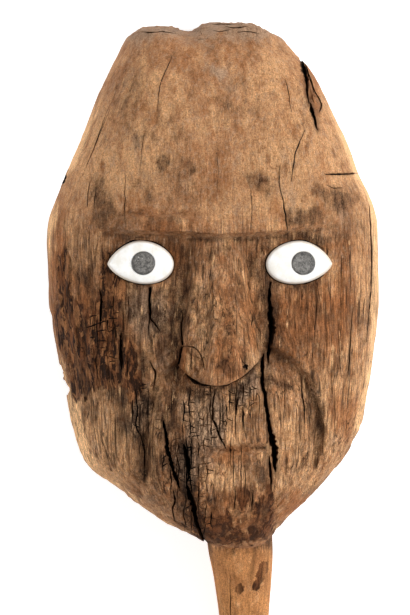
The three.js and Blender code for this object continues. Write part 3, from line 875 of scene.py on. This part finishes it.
def socketRings(side):
    outline = almond(side)
    away = outline / np.linalg.norm(outline, axis=1, keepdims=True)
    rough = 0.28 + 0.3 * noise(outline[:, 0] / 4, outline[:, 1] / 4, 0, 95 + side)
    if side > 0:  # a wider gap stays open over the outer end of this eye
        rough = rough + 2.1 * np.exp(-(np.hypot(outline[:, 0] - 14, outline[:, 1] - 5) / 5.5) ** 2)
    outline = outline + away * (eye["gap"] + np.clip(rough, 0, 3))[:, None]
    deep = -eye["gap"]
    layers = ((0.5, deep), (0.985, deep), (1, deep + 0.3), (1, 2), (1.01, 4), (1.02, 6), (1.02, 12))
    rings = [np.column_stack([outline * k, np.full(len(outline), z)]) for k, z in layers]
    return placed(rings, side)


# Materials

def srgb(r, g, b):
    return tuple(((c / 255 + 0.055) / 1.055) ** 2.4 if c > 10 else c / 3294.6 for c in (r, g, b)) + (1,)


def addNode(tree, kind, **settings):
    node = tree.nodes.new(kind)
    for key, value in settings.items():
        setattr(node, key, value)
    return node


def feed(tree, socket, value):
    if isinstance(value, bpy.types.NodeSocket):
        tree.links.new(value, socket)
    elif value is not None:
        socket.default_value = value


def maths(tree, operation, a, b=None, c=None, clamp=False):
    node = addNode(tree, "ShaderNodeMath", operation=operation, use_clamp=clamp)
    for socket, value in zip(node.inputs, (a, b, c)):
        feed(tree, socket, value)
    return node.outputs[0]


def blend(tree, amount, a, b, kind="MIX"):
    node = addNode(tree, "ShaderNodeMix", data_type="RGBA", blend_type=kind)
    feed(tree, node.inputs["Factor"], amount)
    feed(tree, node.inputs[6], a)
    feed(tree, node.inputs[7], b)
    return node.outputs[2]


def remap(tree, value, low, high, to=(0, 1)):
    node = addNode(tree, "ShaderNodeMapRange", interpolation_type="SMOOTHSTEP")
    for socket, v in zip(node.inputs, (value, low, high, *to)):
        feed(tree, socket, v)
    return node.outputs[0]


def scaled(tree, vector, scale):
    node = addNode(tree, "ShaderNodeMapping")
    feed(tree, node.inputs["Vector"], vector)
    node.inputs["Scale"].default_value = scale
    return node.outputs[0]


def noiseNode(tree, vector, scale, detail=3, roughness=0.5, distortion=0):
    node = addNode(tree, "ShaderNodeTexNoise")
    for name, value in (("Vector", vector), ("Scale", scale), ("Detail", detail), ("Roughness", roughness),
                        ("Distortion", distortion)):
        feed(tree, node.inputs[name], value)
    return node.outputs["Fac"]


def grainNoise(tree, place, along, scale, detail=3, roughness=0.5, distortion=0):
    # noise drawn out along Y, which is the way of the grain
    return noiseNode(tree, scaled(tree, place, (1, along, 1)), scale, detail, roughness, distortion)


def shifted(tree, place, push, amount):
    # places moved about by a noise
    node = addNode(tree, "ShaderNodeVectorMath", operation="MULTIPLY_ADD")
    feed(tree, node.inputs[0], maths(tree, "SUBTRACT", push, 0.5))
    node.inputs[1].default_value = amount
    feed(tree, node.inputs[2], place)
    return node.outputs[0]


def readMask(tree, name):
    return addNode(tree, "ShaderNodeAttribute", attribute_name=name).outputs["Fac"]


def objectPlace(tree):
    return addNode(tree, "ShaderNodeTexCoord").outputs["Object"]


def newGroup(name, inputs, outputs):
    group = bpy.data.node_groups.new(name, "ShaderNodeTree")
    for socketName, kind, value in inputs:
        socket = group.interface.new_socket(socketName, in_out="INPUT", socket_type=kind)
        if value is not None:
            socket.default_value = value
    for socketName in outputs:
        group.interface.new_socket(socketName, in_out="OUTPUT", socket_type="NodeSocketFloat")
    return group, group.nodes.new("NodeGroupInput"), group.nodes.new("NodeGroupOutput")


def useGroup(tree, group, **values):
    node = addNode(tree, "ShaderNodeGroup", node_tree=group)
    for name, value in values.items():
        feed(tree, node.inputs[name], value)
    return node.outputs


def makeGrainGroup():
    group, given, out = newGroup("woodGrain", [("Place", "NodeSocketVector", None)],
                                 ["Bands", "Streaks", "Fibres", "Felt", "Hairlines", "Crackle"])
    place = given.outputs["Place"]
    bent = shifted(group, place, grainNoise(group, place, 0.35, 42, 2), (0.008, 0, 0.004))
    feed(group, out.inputs["Bands"], grainNoise(group, bent, 0.12, 130, 3, 0.55))
    feed(group, out.inputs["Streaks"], grainNoise(group, bent, 0.06, 480, 4, 0.65))
    feed(group, out.inputs["Fibres"], grainNoise(group, bent, 0.09, 1100, 3, 0.7, 0.4))
    feed(group, out.inputs["Felt"], grainNoise(group, place, 0.9, 1250, 3, 0.8, 0.6))

    # hairline splits run along the grain and stop and start
    level = grainNoise(group, bent, 0.05, 230, 2)
    line = remap(group, maths(group, "ABSOLUTE", maths(group, "SUBTRACT", level, 0.5)), 0.02, 0.006)
    gaps = grainNoise(group, place, 0.4, 75, 2)
    feed(group, out.inputs["Hairlines"], maths(group, "MULTIPLY", line, remap(group, gaps, 0.46, 0.54)))

    # rot breaks the wood into small blocks
    blocks = scaled(group, place, (1, 0.58, 0.3))
    blocks = shifted(group, blocks, noiseNode(group, place, 260, 3, 0.6), (0.004, 0.004, 0))
    lines = []
    for size, thin in ((200, 0.1), (450, 0.07)):
        cells = addNode(group, "ShaderNodeTexVoronoi", feature="DISTANCE_TO_EDGE")
        feed(group, cells.inputs["Vector"], blocks)
        cells.inputs["Scale"].default_value = size
        lines.append(remap(group, cells.outputs["Distance"], thin, 0.2 * thin))
    crackle = maths(group, "MAXIMUM", lines[0], maths(group, "MULTIPLY", lines[1], 0.6))
    feed(group, out.inputs["Crackle"], crackle)
    return group


def makePatchGroup():
    # breaks the soft edge of a painted mask into patches and runs
    group, given, out = newGroup("brokenPatch", [
        ("Place", "NodeSocketVector", None), ("Mask", "NodeSocketFloat", 0), ("Size", "NodeSocketFloat", 160),
        ("Hardness", "NodeSocketFloat", 0.2)], ["Mask"])
    place = scaled(group, given.outputs["Place"], (1, 0.5, 1))
    wear = noiseNode(group, place, given.outputs["Size"], 6, 0.68)
    wear = maths(group, "MULTIPLY", maths(group, "SUBTRACT", wear, 0.5), 1.9)
    inside = maths(group, "MULTIPLY", given.outputs["Mask"], 12, clamp=True)
    raised = maths(group, "ADD", given.outputs["Mask"], maths(group, "MULTIPLY", wear, inside))
    low = maths(group, "SUBTRACT", 0.5, given.outputs["Hardness"])
    high = maths(group, "ADD", 0.5, given.outputs["Hardness"])
    feed(group, out.inputs["Mask"], remap(group, raised, low, high))
    return group


def startMaterial(name):
    material = bpy.data.materials.new(name)
    material.use_nodes = True
    return material, material.node_tree, material.node_tree.nodes["Principled BSDF"]


def finishSurface(tree, shader, color, roughness, height, strength, distance):
    # sets the colour and roughness, and a bump made from a height
    bump = addNode(tree, "ShaderNodeBump")
    for name, value in (("Strength", strength), ("Distance", distance), ("Height", height)):
        feed(tree, bump.inputs[name], value)
    for name, value in (("Base Color", color), ("Roughness", roughness), ("Normal", bump.outputs[0])):
        feed(tree, shader.inputs[name], value)


woodColors = {
    "deep": srgb(82, 50, 29),
    "dark": srgb(140, 98, 66),
    "middle": srgb(178, 128, 89),
    "light": srgb(217, 166, 118),
    "bareAndLit": srgb(252, 200, 146),
    "tan": srgb(214, 149, 92),
    "red": srgb(152, 92, 50),
    "rust": srgb(102, 58, 31),
    "burnt": srgb(44, 26, 15),
    "blister": srgb(158, 107, 68),
    # the colour of dark dirt, also used for painted shade
    "sootAndShade": srgb(54, 36, 24),
    "grey": srgb(178, 147, 120),
    "crack": srgb(18, 12, 8),
}


def makeWood(grainGroup, patchGroup):
    material, tree, shader = startMaterial("oldWood")
    place = objectPlace(tree)
    grain = useGroup(tree, grainGroup, Place=place)
    broad = grainNoise(tree, place, 0.6, 36, 4, 0.6)
    blotch = grainNoise(tree, place, 0.6, 170, 5, 0.65)
    hue = grainNoise(tree, place, 0.5, 95, 4, 0.6)
    tint = grainNoise(tree, place, 0.7, 520, 3, 0.6)
    spots = grainNoise(tree, place, 0.3, 300, 5, 0.68)
    blister = grainNoise(tree, place, 0.45, 190, 4, 0.6, 0.6)
    marks = grainNoise(tree, place, 0.16, 330, 4, 0.6, 0.4)
    grained = readMask(tree, "grained")
    color = woodColors["middle"]

    def times(a, b):
        return maths(tree, "MULTIPLY", a, b)

    def ramp(value, low, high, to=(0, 1)):
        return remap(tree, value, low, high, to)

    def byGrain(slope, start):
        return maths(tree, "MULTIPLY_ADD", grained, slope, start)

    def lay(amount, shade):
        nonlocal color
        color = blend(tree, amount, color, woodColors[shade])

    def patch(mask, size, hardness, strength):
        broken = useGroup(tree, patchGroup, Place=place, Mask=readMask(tree, mask), Size=size,
                          Hardness=hardness)["Mask"]
        return times(broken, strength)

    # the wood's own tone: broad clouds, then bands and mottling, with greyer and redder parts
    tone = maths(tree, "ADD", times(broad, 0.44), times(grain["Bands"], 0.26))
    tone = maths(tree, "ADD", tone, times(blotch, 0.3))
    tone = maths(tree, "MULTIPLY_ADD", maths(tree, "SUBTRACT", tone, 0.5), byGrain(0.7, 0.85), 0.5)
    color = blend(tree, ramp(tone, 0.39, 0.51), woodColors["dark"], woodColors["middle"])
    lay(ramp(tone, 0.49, 0.62), "light")
    lay(times(readMask(tree, "pale"), ramp(blotch, 0.3, 0.55, (0, 0.85))), "light")
    lay(ramp(hue, 0.55, 0.7, (0, 0.45)), "grey")
    lay(ramp(hue, 0.46, 0.34, (0, 0.4)), "red")
    lay(ramp(tint, 0.53, 0.64, (0, 0.4)), "grey")
    lay(ramp(tint, 0.47, 0.37, (0, 0.36)), "red")
    lay(patch("red", 170, 0.4, 0.75), "red")
    lay(patch("grey", 180, 0.45, 0.75), "grey")
    lay(times(readMask(tree, "tan"), ramp(blotch, 0.3, 0.6, (0.45, 1))), "tan")
    # pale worn wood, and painted light on the band along the side edges
    lay(patch("bareAndLit", 170, 0.35, 0.92), "bareAndLit")

    # dark streaks along the grain, stronger on the lower half of the face
    lay(times(ramp(grain["Streaks"], 0.52, 0.34), byGrain(0.5, 0.05)), "deep")
    # dark dirt, and painted shade in the hollows beside the nose, round the eyes and under the brow
    sootAndShadeMottle = times(ramp(spots, 0.38, 0.58, (1.15, 0.72)), ramp(grain["Felt"], 0.36, 0.62, (1.1, 0.84)))
    lay(times(patch("sootAndShade", 210, 0.5, 0.9), sootAndShadeMottle), "sootAndShade")
    lay(times(ramp(marks, 0.62, 0.67), times(grained, 0.6)), "deep")
    lay(times(ramp(marks, 0.37, 0.32), times(grained, 0.5)), "bareAndLit")

    # reddish paint on the chin, and the blistered dark cheek
    pigment = times(patch("pigment", 210, 0.2, 0.9), ramp(grain["Bands"], 0.34, 0.5, (0.6, 1)))
    lay(pigment, "rust")
    lay(times(pigment, ramp(spots, 0.54, 0.46, (0, 0.88))), "burnt")
    burnt = patch("burnt", 190, 0.16, 1)
    lay(times(burnt, 0.75), "rust")
    lay(times(burnt, ramp(spots, 0.53, 0.46)), "burnt")
    lay(times(burnt, ramp(blister, 0.54, 0.58, (0, 0.85))), "blister")

    # darker in the furrows and along the splits, partly dirt and partly painted shade; dark hairlines, and
    # the crackle of broken rot
    lay(times(ramp(readMask(tree, "dip"), 0.25, 0.9), 0.48), "sootAndShade")
    lay(times(readMask(tree, "cracked"), 0.85), "crack")
    hair = times(grain["Hairlines"], maths(tree, "MULTIPLY_ADD", grained, 1.1, -0.25, clamp=True))
    lay(times(hair, 0.85), "crack")
    crackle = times(grain["Crackle"], ramp(readMask(tree, "rot"), 0.25, 0.6))
    lay(times(crackle, 0.5), "crack")

    # fine felting: darker pits and paler raised fibres
    lay(times(ramp(grain["Felt"], 0.5, 0.36), 0.48), "deep")
    raised = ramp(grain["Fibres"], 0.36, 0.64, (-0.38, 0.32))
    fibres = maths(tree, "MULTIPLY_ADD", raised, byGrain(0.85, 0.15), 1)
    shaded = addNode(tree, "ShaderNodeVectorMath", operation="SCALE")
    feed(tree, shaded.inputs[0], color)
    feed(tree, shaded.inputs["Scale"], times(fibres, ramp(grain["Felt"], 0.5, 0.68, (1, 1.3))))

    relief = times(grain["Fibres"], 0.6)
    for height in (times(times(grain["Streaks"], grained), 1.6), times(grain["Felt"], 1.2), times(hair, -0.9),
                   times(crackle, -1.4), times(times(burnt, spots), 2.5)):
        relief = maths(tree, "ADD", relief, height)
    shader.inputs["Specular IOR Level"].default_value = 0.1
    finishSurface(tree, shader, shaded.outputs[0], ramp(blotch, 0.3, 0.7, (0.7, 0.9)), relief, 0.9, 0.0011)
    return material


def makeShadedCrackWall(grainGroup):
    material, tree, shader = startMaterial("shadedSplitWood")
    grain = useGroup(tree, grainGroup, Place=objectPlace(tree))
    # painted shade: the walls of the splits and pits go near black, over the wood's own bands
    color = blend(tree, remap(tree, grain["Bands"], 0.4, 0.65), woodColors["crack"], woodColors["dark"])
    shader.inputs["Specular IOR Level"].default_value = 0.1
    finishSurface(tree, shader, color, 0.95, grain["Streaks"], 0.7, 0.0008)
    return material


def makeShell():
    material, tree, shader = startMaterial("whiteShell")
    place = objectPlace(tree)
    cloud = noiseNode(tree, place, 170, 4, 0.55)
    vein = grainNoise(tree, place, 0.4, 420, 3, 0.6, 1.2)
    stained = maths(tree, "MULTIPLY", remap(tree, vein, 0.58, 0.72), 0.25)
    color = blend(tree, remap(tree, cloud, 0.35, 0.7), srgb(247, 246, 243), srgb(233, 229, 220))
    color = blend(tree, stained, color, srgb(205, 192, 170))
    # a tan rim: a warm tint along the joint and painted shade where the shell turns down to the wood
    color = blend(tree, readMask(tree, "rim"), color, srgb(176, 148, 112))
    shader.inputs["Subsurface Weight"].default_value = 0.08
    shader.inputs["Subsurface Radius"].default_value = (0.0012, 0.001, 0.0008)
    finishSurface(tree, shader, color, remap(tree, cloud, 0.3, 0.7, (0.28, 0.42)), vein, 0.15, 0.0004)
    return material


def makeDiscStone():
    material, tree, shader = startMaterial("darkDisc")
    place = objectPlace(tree)
    mottle = noiseNode(tree, place, 700, 4, 0.7, 0.5)
    cloud = noiseNode(tree, place, 230, 3)
    glint = noiseNode(tree, place, 1500, 2)
    color = blend(tree, remap(tree, mottle, 0.34, 0.66), srgb(62, 60, 58), srgb(128, 124, 118))
    paler = ((cloud, 0.5, 0.7, 0.4, srgb(150, 147, 142)), (glint, 0.68, 0.74, 0.9, srgb(226, 224, 220)))
    for level, low, high, strength, shade in paler:
        amount = maths(tree, "MULTIPLY", remap(tree, level, low, high), strength)
        color = blend(tree, amount, color, shade)
    # a dark rim: painted shade along the edge of the disc, where it sits in the shell
    color = blend(tree, readMask(tree, "rim"), color, srgb(40, 37, 35))
    finishSurface(tree, shader, color, remap(tree, mottle, 0.3, 0.7, (0.55, 0.35)), mottle, 0.5, 0.0005)
    return material


def paintMasks(mesh, masks):
    for name, values in masks.items():
        layer = mesh.attributes.new(name, "FLOAT", "POINT")
        layer.data.foreach_set("value", np.clip(values, 0, 1).astype(np.float32).ravel())


def vertexPlaces(mesh):
    places = np.empty(len(mesh.vertices) * 3)
    mesh.vertices.foreach_get("co", places)
    return places.reshape(-1, 3).T / mm


# where the stained patches, and the patches of painted shade and light, lie on the head: x, y, half width,
# half height
stainsAndShading = {
    "pigment": [
        (-7, -150, 11, 9), (-13, -142, 5, 6), (25, -136, 6, 9), (23, -147, 7, 8), (28, -129, 4, 6),
        (8, -155, 12, 4), (3, -143, 3, 8), (13, -130, 2.5, 6), (9, -150, 3, 6),
    ],
    "burnt": [
        (-88, -8, 5, 20), (-87, -34, 7, 16), (-76, -44, 14, 24), (-66, -52, 12, 18), (-76, -66, 10, 10),
        (-64, -34, 9, 14), (-55, -56, 8, 14), (-62, -20, 9, 12), (-60, -4, 7, 12), (-50, -66, 6, 10),
    ],
    "neckSpots": [
        (25, -172, 2.4, 3.6), (22.8, -177, 2.6, 3.6), (20.8, -182.6, 2.8, 3.2), (11.6, -184, 2.4, 2.8),
    ],
    # dark dirt, and painted shade beside the nose, in the eye hollows, under the brow, under the eyes and
    # under the nose
    "sootAndShade": [
        (-22, -8, 8, 24), (-25, 9, 8, 7), (26, 8, 8, 9), (27, -4, 7, 14), (-58, -26, 22, 20),
        (-36, -30, 14, 20), (-28, -46, 9, 14), (-47, -78, 10, 16), (-44, -100, 5, 14), (-40, -113, 8, 14),
        (-22, -108, 7, 16), (-24, -98, 4, 10), (-14, -69, 10, 4), (-44, 12, 20, 4), (50, 13, 16, 3.5),
        (40, -13, 18, 4), (-42, -13, 18, 4), (-66, 33, 5, 13), (-31, 57, 6, 4), (-16, 56, 5, 3),
        (22, 46, 7, 5), (66, 37, 11, 8), (33, -66, 9, 5), (54, -84, 5, 14), (-31, -78, 5, 12),
        (46, 27, 13, 5), (-20, -133, 7, 14), (62, -128, 12, 10), (-76, -8, 5, 9), (24, -118, 3, 8),
        (-56, -72, 8, 8), (-42, -56, 8, 16), (-28, -86, 6, 20), (12, -68, 8, 5), (28, -30, 6, 22),
        (-24, -30, 6, 24), (24, -22, 5, 26), (4, -58, 7, 4), (20, 3, 6, 11),
    ],
    "faintSoot": [
        (44, -36, 22, 22), (-34, 22, 26, 10), (56, -56, 16, 20), (-30, -64, 18, 30), (4, 8, 12, 7),
        (-28, 54, 16, 12), (-40, 76, 18, 12), (10, 88, 16, 10), (46, -150, 20, 10), (-60, 10, 16, 14),
        (-28, 42, 22, 14), (8, -140, 26, 16), (64, 20, 20, 14), (52, 98, 5, 16), (0, -40, 12, 10),
        (-80, 0, 10, 18), (-52, 96, 10, 16), (-30, -128, 16, 14), (-42, -60, 14, 30),
    ],
    "grey": [
        (-12, 134, 34, 8), (-8, -86, 12, 18), (-18, -112, 7, 16), (0, 111, 6, 4),
        (-44, -84, 6, 15), (16, -70, 8, 7), (-40, -28, 12, 14),
    ],
    "red": [
        (3, -36, 5, 28), (4, -56, 12, 10), (-18, -54, 7, 6), (16, -30, 6, 24), (-93, -6, 6, 40),
        (28.5, 34, 3.4, 6), (10, -168, 22, 10), (-78, -30, 14, 34), (-56, -44, 12, 20), (8, -142, 26, 14),
        (40, -140, 14, 14), (-30, 21, 12, 3), (44, -30, 20, 18), (64, -30, 12, 24), (8, -106, 10, 6),
        (20, -196, 10, 30), (-18, -57, 5, 5), (70, -84, 10, 16), (52, 102, 6, 20), (44, 8, 30, 5),
        (12, -185, 22, 30), (-26, 4, 8, 8),
    ],
    # pale patches of worn wood; the two along the sides of the nose are painted light on its planes
    "pale": [
        (-62, 52, 22, 20), (-36, 86, 16, 14), (-50, -98, 14, 16), (-68, -96, 10, 14), (50, -112, 12, 14),
        (8, 32, 16, 8), (-84, 22, 6, 16), (-10, -30, 5, 20), (-60, -112, 16, 12), (-40, 64, 14, 20),
        (70, -92, 10, 14), (-56, -104, 16, 14), (64, -78, 16, 24), (-66, -90, 18, 20), (-66, -91, 12, 14),
        (-11, -82, 10, 14), (11, -83, 12, 14), (31, -136, 8, 12), (-80, 0, 12, 14), (12, -190, 20, 24),
        (54, 84, 22, 34), (34, 56, 22, 22), (-66, 70, 8, 20), (16, -30, 4, 28), (70, 58, 14, 16),
        (50, 112, 8, 14), (74, -70, 8, 30), (4, -118, 14, 8), (-62, -104, 12, 14), (38, -104, 9, 22),
        (62, -100, 12, 20), (30, 104, 16, 20), (82, 0, 6, 40), (-64, -84, 12, 12), (40, 36, 20, 10),
        (-6, -84, 8, 12), (8, -90, 10, 12),
    ],
    "bareSpots": [(-14, -54, 3, 3), (-3, -119, 4, 3)],
    # where the pale edge band is left off, among them the jaw and chin edges that turn under into shade
    "edgesWithoutBand": [(-92, -24, 9, 40), (-86, 40, 10, 14), (24, -158, 34, 7), (62, -124, 28, 26)],
}


def wander(x, y, size, reach, seed):
    # shifts places about, so that what is painted there gets a ragged outline
    return (x + reach * layeredNoise(x / size, y / (1.7 * size), 0, seed),
            y + 1.5 * reach * layeredNoise(x / size, y / (1.7 * size), 0, seed + 3))


def creaseDirtAndShade(x, y):
    # dirt and painted shade in the folds, under the brow, along the cut over the left brow, in the mouth and
    # under the nose
    dirt = [np.exp(-(farFromPath(x, y, path) / 2.4) ** 2) for _, _, path in folds]
    dirt.append(1.3 * np.exp(-((y - browLine(x) + 2) / 2) ** 2) * (np.abs(x) < 66))
    cutEdge = browCutTop(x) + browCut["edgeUp"]
    dirt.append(0.8 * np.exp(-((y - cutEdge) / browCut["edgeHalf"]) ** 2) * (np.abs(x + 35) < 24))
    dirt.append(0.9 * lipSpan(x) * np.exp(-((y - lipLine(x)) / 1.2) ** 2))
    underNoseShade = np.exp(-((y - noseFoot(x) + 1.4) / 1.5) ** 2)
    dirt.append(1.3 * underNoseShade * (np.abs(x - 1) < nose["footHalf"] + 1))
    return np.max(dirt, axis=0)


def nearSplits(x, y):
    # dark along every listed split, more so along the wide ones
    dark = np.zeros(len(x))
    for _, path in splits:
        far = farFromPath(x, y, [point[:2] for point in path])
        wide = max(point[2] for point in path)
        dark = np.maximum(dark, min(1, 0.4 * wide) * np.exp(-(far / (0.3 + 0.5 * wide)) ** 2))
    return dark


def headMasks(mesh):
    edgeX, edgeY, z = vertexPlaces(mesh)
    x, y = wander(edgeX, edgeY, 9, 4.5, 151)
    x, y = wander(x, y, 3, 1.4, 171)

    def patchOf(name, soft=0.55):
        return patchMask(x, y, stainsAndShading[name], soft)

    front = ease(z, 30, 52)
    lower = 1 - ease(edgeY, 4, 34)
    onHead = ease(edgeY, -163, -160)
    neck = 1 - onHead
    # painted shade on the top of the neck, under the overhanging chin
    under = neck * ease(edgeY, -170, -160) * ease(z, 10, 26)
    normals = np.empty(len(mesh.vertices) * 3)
    mesh.vertices.foreach_get("normal", normals)
    endGrain = ease(np.abs(normals[1::3]), 0.35, 0.75) * (1 - neck)

    # pale worn wood along the edges and on the left jaw; the band along the side edges is partly painted
    # light
    fromEdge = np.minimum(edgeX - leftEdge(edgeY), rightEdge(edgeY) - edgeX)
    fromEdge = fromEdge + 1.6 * layeredNoise(edgeX / 6, edgeY / 22, 0, 157)
    onLeft = edgeX < 0
    band = (1 - ease(fromEdge, 2, 9)) * ease(z, 4, 16)
    jaw = (1 - ease(fromEdge, 2, np.where(onLeft, 14, 7))) * ease(-edgeY, 60, 84) * np.where(onLeft, 1, 0.2)
    bareAndLit = np.maximum(band * (1 - ease(edgeY, 60, 110)), jaw) * onHead
    bareAndLit = bareAndLit * (1 - 0.9 * patchOf("edgesWithoutBand"))
    rim = rimHeight(edgeY)
    bareAndLit = bareAndLit * (0.25 + 0.75 * ease(z, rim - 6, rim + 10)) * (1 - 0.55 * endGrain)

    chips = patchOf("bareSpots", 0.3)
    pigment = patchOf("pigment", 0.5) * front * (1 - chips)
    burnt = patchOf("burnt", 0.5) * ease(z, 16, 34)
    spotX, spotY = wander(edgeX, edgeY, 3, 0.9, 171)
    spots = patchMask(spotX, spotY, stainsAndShading["neckSpots"], 0.3) * neck * ease(z, 16, 24)
    # dark dirt, with painted shade beside the nose, round the eyes and under the brow
    sootAndShade = np.maximum(patchOf("sootAndShade", 0.7), 0.5 * patchOf("faintSoot", 0.8))
    sootAndShade = np.maximum(sootAndShade * np.maximum(front, 0.3), 0.75 * creaseDirtAndShade(edgeX, edgeY) * front)
    # painted shade along the lower right edge of the jaw, where it turns under
    underJawShade = (1 - ease(fromEdge, 1.4, 4)) * ease(edgeX, 10, 30) * ease(-edgeY, 84, 108) * onHead
    sootAndShade = np.maximum(sootAndShade * (1 - chips) * (1 - spots), underJawShade)
    # how deep in a furrow each point lies, for the dirt and painted shade in the furrows
    _, dip = weather(edgeX, edgeY, z, 0 * z)
    paintMasks(mesh, {
        "bareAndLit": np.maximum(bareAndLit, 0.55 * chips) + 0.16 * neck,
        "tan": 0.75 * neck,
        "pigment": np.maximum(0.85 * pigment, spots),
        "burnt": 0.85 * burnt,
        "sootAndShade": np.maximum(0.78 * sootAndShade, 0.5 * under),
        "grey": np.maximum(0.8 * patchOf("grey") * front, 0.85 * ease(y, 121, 134)),
        "red": 0.75 * patchOf("red", 0.7) * (1 + 0.3 * neck),
        "pale": patchOf("pale", 0.8) + 0.8 * neck,
        "rot": np.maximum(patchMask(x, y, rotZones, 0.6) * front, 0.4 * ease(y, 124, 132)),
        "cracked": 0.7 * nearSplits(edgeX, edgeY) * front,
        "dip": dip * (0.3 + 0.7 * lower),
        "grained": (0.25 + 0.75 * lower) * (1 - 0.75 * neck) * (1 - 0.8 * endGrain),
    })


# Building

def makeSolid(name, material, tubes=(), lumps=(), smooth=True):
    # one mesh of closed tubes and lumps
    bm = bmesh.new()
    for lump in lumps:
        addLump(bm, *lump)
    for rings in tubes:
        addTube(bm, rings)
    made = makeObject(name, bm, smooth)
    made.data.materials.append(material)
    return made


chance = random.Random(8154)
grainGroup = makeGrainGroup()
patchGroup = makePatchGroup()
wood = makeWood(grainGroup, patchGroup)
shadedCrackWall = makeShadedCrackWall(grainGroup)
shellMaterial = makeShell()
discMaterial = makeDiscStone()

carvedHead = makeSolid("carvedHead", wood, [worn(*headRings())])
stage(f"head block, {len(carvedHead.data.polygons)} faces")
cut(carvedHead, makeSolid("noseBlock", wood, [noseRings()]), "UNION")
cut(carvedHead, makeSolid("stakeBlock", wood, [stakeRings()]), "UNION")
stage("nose and stake joined")

blades = []
for paths, level, clear in ((splits, wornTop, 5), (stakeSplits, stakeTop, 5), (crownSplits, surfaceAt, 16),
                            (noseSplits, noseTop, 3)):
    for depth, path in paths:
        addBlade(blades, path, depth, level, chance, clear)
for addCracks in (addBlockCracks, addEdgeSplits, addFaceSplits):
    addCracks(blades, chance)

# the blades are dealt out over rounds, because one cutter made of all of them can hang the boolean
for turn in range(bladeRounds):
    cut(carvedHead, makeSolid("wedge", shadedCrackWall, blades[turn::bladeRounds], smooth=False), "DIFFERENCE")
stage(f"{len(blades)} splits cut")

# each lump gets a seed and a fineness
biteLumps = [(*lump, 90 + number, 3) for number, lump in enumerate(bites)]
holeLumps = [(*lump, 100 + number, 4) for number, lump in enumerate(holes)]
sockets = [socketRings(side) for side in (-1, 1)]
cut(carvedHead, makeSolid("bite", wood, lumps=biteLumps), "DIFFERENCE")
cut(carvedHead, makeSolid("pits", shadedCrackWall, sockets, holeLumps, smooth=False), "DIFFERENCE")
keepLargest(carvedHead)
carvedHead.data.calc_loop_triangles()
stage(f"hollowed, {len(carvedHead.data.loop_triangles)} triangles")

headMasks(carvedHead.data)
carvedHead.data.set_sharp_from_angle(angle=math.radians(52))
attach(carvedHead, "root")
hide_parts("carved_head")

for name, side in (("left", -1), ("right", 1)):
    for part, rings, material, slot in (("Shell", shellRings(side), shellMaterial, "shell"),
                                        ("Disc", discRings(side), discMaterial, "disc")):
        made = makeSolid(f"{name}Eye{part}", material, [rings])
        made.data.set_sharp_from_angle(angle=math.radians(50))
        x, y, z = vertexPlaces(made.data)
        flat = np.stack([x, y], axis=-1) - [side * eye["x"], 0]
        edge = np.min(np.linalg.norm(flat[:, None] - almond(side)[None], axis=-1), axis=1)
        if part == "Disc":
            edge = disc["radius"] - np.hypot(flat[:, 0] - disc["x"], flat[:, 1] - disc["y"])
        # the rim mask: tint and painted shade towards the edge of each shell and disc
        paintMasks(made.data, {"rim": 0.55 * (1 - ease(edge, 0.2, 1.6))})
        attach(made, "root")
        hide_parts(f"{name}_eye_{part.lower()}")
stage("eyes set")

# Floor, light and camera

studio = {
    "floor": srgb(245, 245, 245),
    "floorGlow": 0.56,
    "floorHalf": 3,
    "world": 0.38,
    "lens": 250,
    "sensor": 36,
    "sharpLevel": 0.016,
    "lit": (0, 0, 0.05),
}
# place, size, power
softboxes = {
    "rightBox": ((2.3, 0.15, 1.7), (1.2, 1.6), 82),
    "leftBox": ((-2.3, -0.35, 1.5), (1.2, 1.6), 31),
    "topBox": ((0.4, 2.4, 1.7), (1.4, 0.9), 19),
}
# the photograph's pixels: its size, the pixel that shows the origin, and the size of one on the mask
photo = {"width": 410, "height": 615, "originX": 219.5, "originY": 265, "pixel": 4 / 7 * mm}


def makeFloor():
    # a light table, so that the mask lies on even white
    bm = bmesh.new()
    bmesh.ops.create_grid(bm, x_segments=1, y_segments=1, size=studio["floorHalf"])
    floor = makeObject("floor", bm, smooth=False)
    material, _, shader = startMaterial("paleFloor")
    for name, value in (("Base Color", studio["floor"]), ("Roughness", 0.9), ("Emission Color", (1, 1, 1, 1)),
                        ("Emission Strength", studio["floorGlow"])):
        shader.inputs[name].default_value = value
    floor.data.materials.append(material)


def addSoftbox(name, place, size, power):
    light = bpy.data.lights.new(name, "AREA")
    light.shape = "RECTANGLE"
    light.size, light.size_y = size
    light.energy = power
    lamp = bpy.data.objects.new(name, light)
    lamp.location = place
    lamp.rotation_euler = (Vector(place) - Vector(studio["lit"])).to_track_quat("Z", "Y").to_euler()
    bpy.context.scene.collection.objects.link(lamp)


def addCamera():
    # straight above the mask; the picture's middle and width are where the photograph has them
    across = (photo["width"] / 2 - photo["originX"]) * photo["pixel"]
    along = (photo["originY"] - photo["height"] / 2) * photo["pixel"]
    data = bpy.data.cameras.new("camera")
    data.sensor_fit = "VERTICAL"
    data.sensor_height = studio["sensor"]
    data.lens = studio["lens"]
    distance = photo["height"] * photo["pixel"] * data.lens / studio["sensor"]
    data.clip_start, data.clip_end = 0.05, 20
    camera = bpy.data.objects.new("camera", data)
    camera.location = Vector((across, along, 0)) + Vector((0, 0, studio["sharpLevel"] + distance))
    bpy.context.scene.collection.objects.link(camera)
    bpy.context.scene.camera = camera


makeFloor()
addCamera()
for name, (place, size, power) in softboxes.items():
    addSoftbox(name, place, size, power)
world = bpy.data.worlds.new("studio")
world.use_nodes = True
background = world.node_tree.nodes["Background"]
background.inputs["Color"].default_value = (1, 1, 1, 1)
background.inputs["Strength"].default_value = studio["world"]
bpy.context.scene.world = world
bpy.context.scene.view_settings.view_transform = "Standard"

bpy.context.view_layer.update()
stage("scene ready")
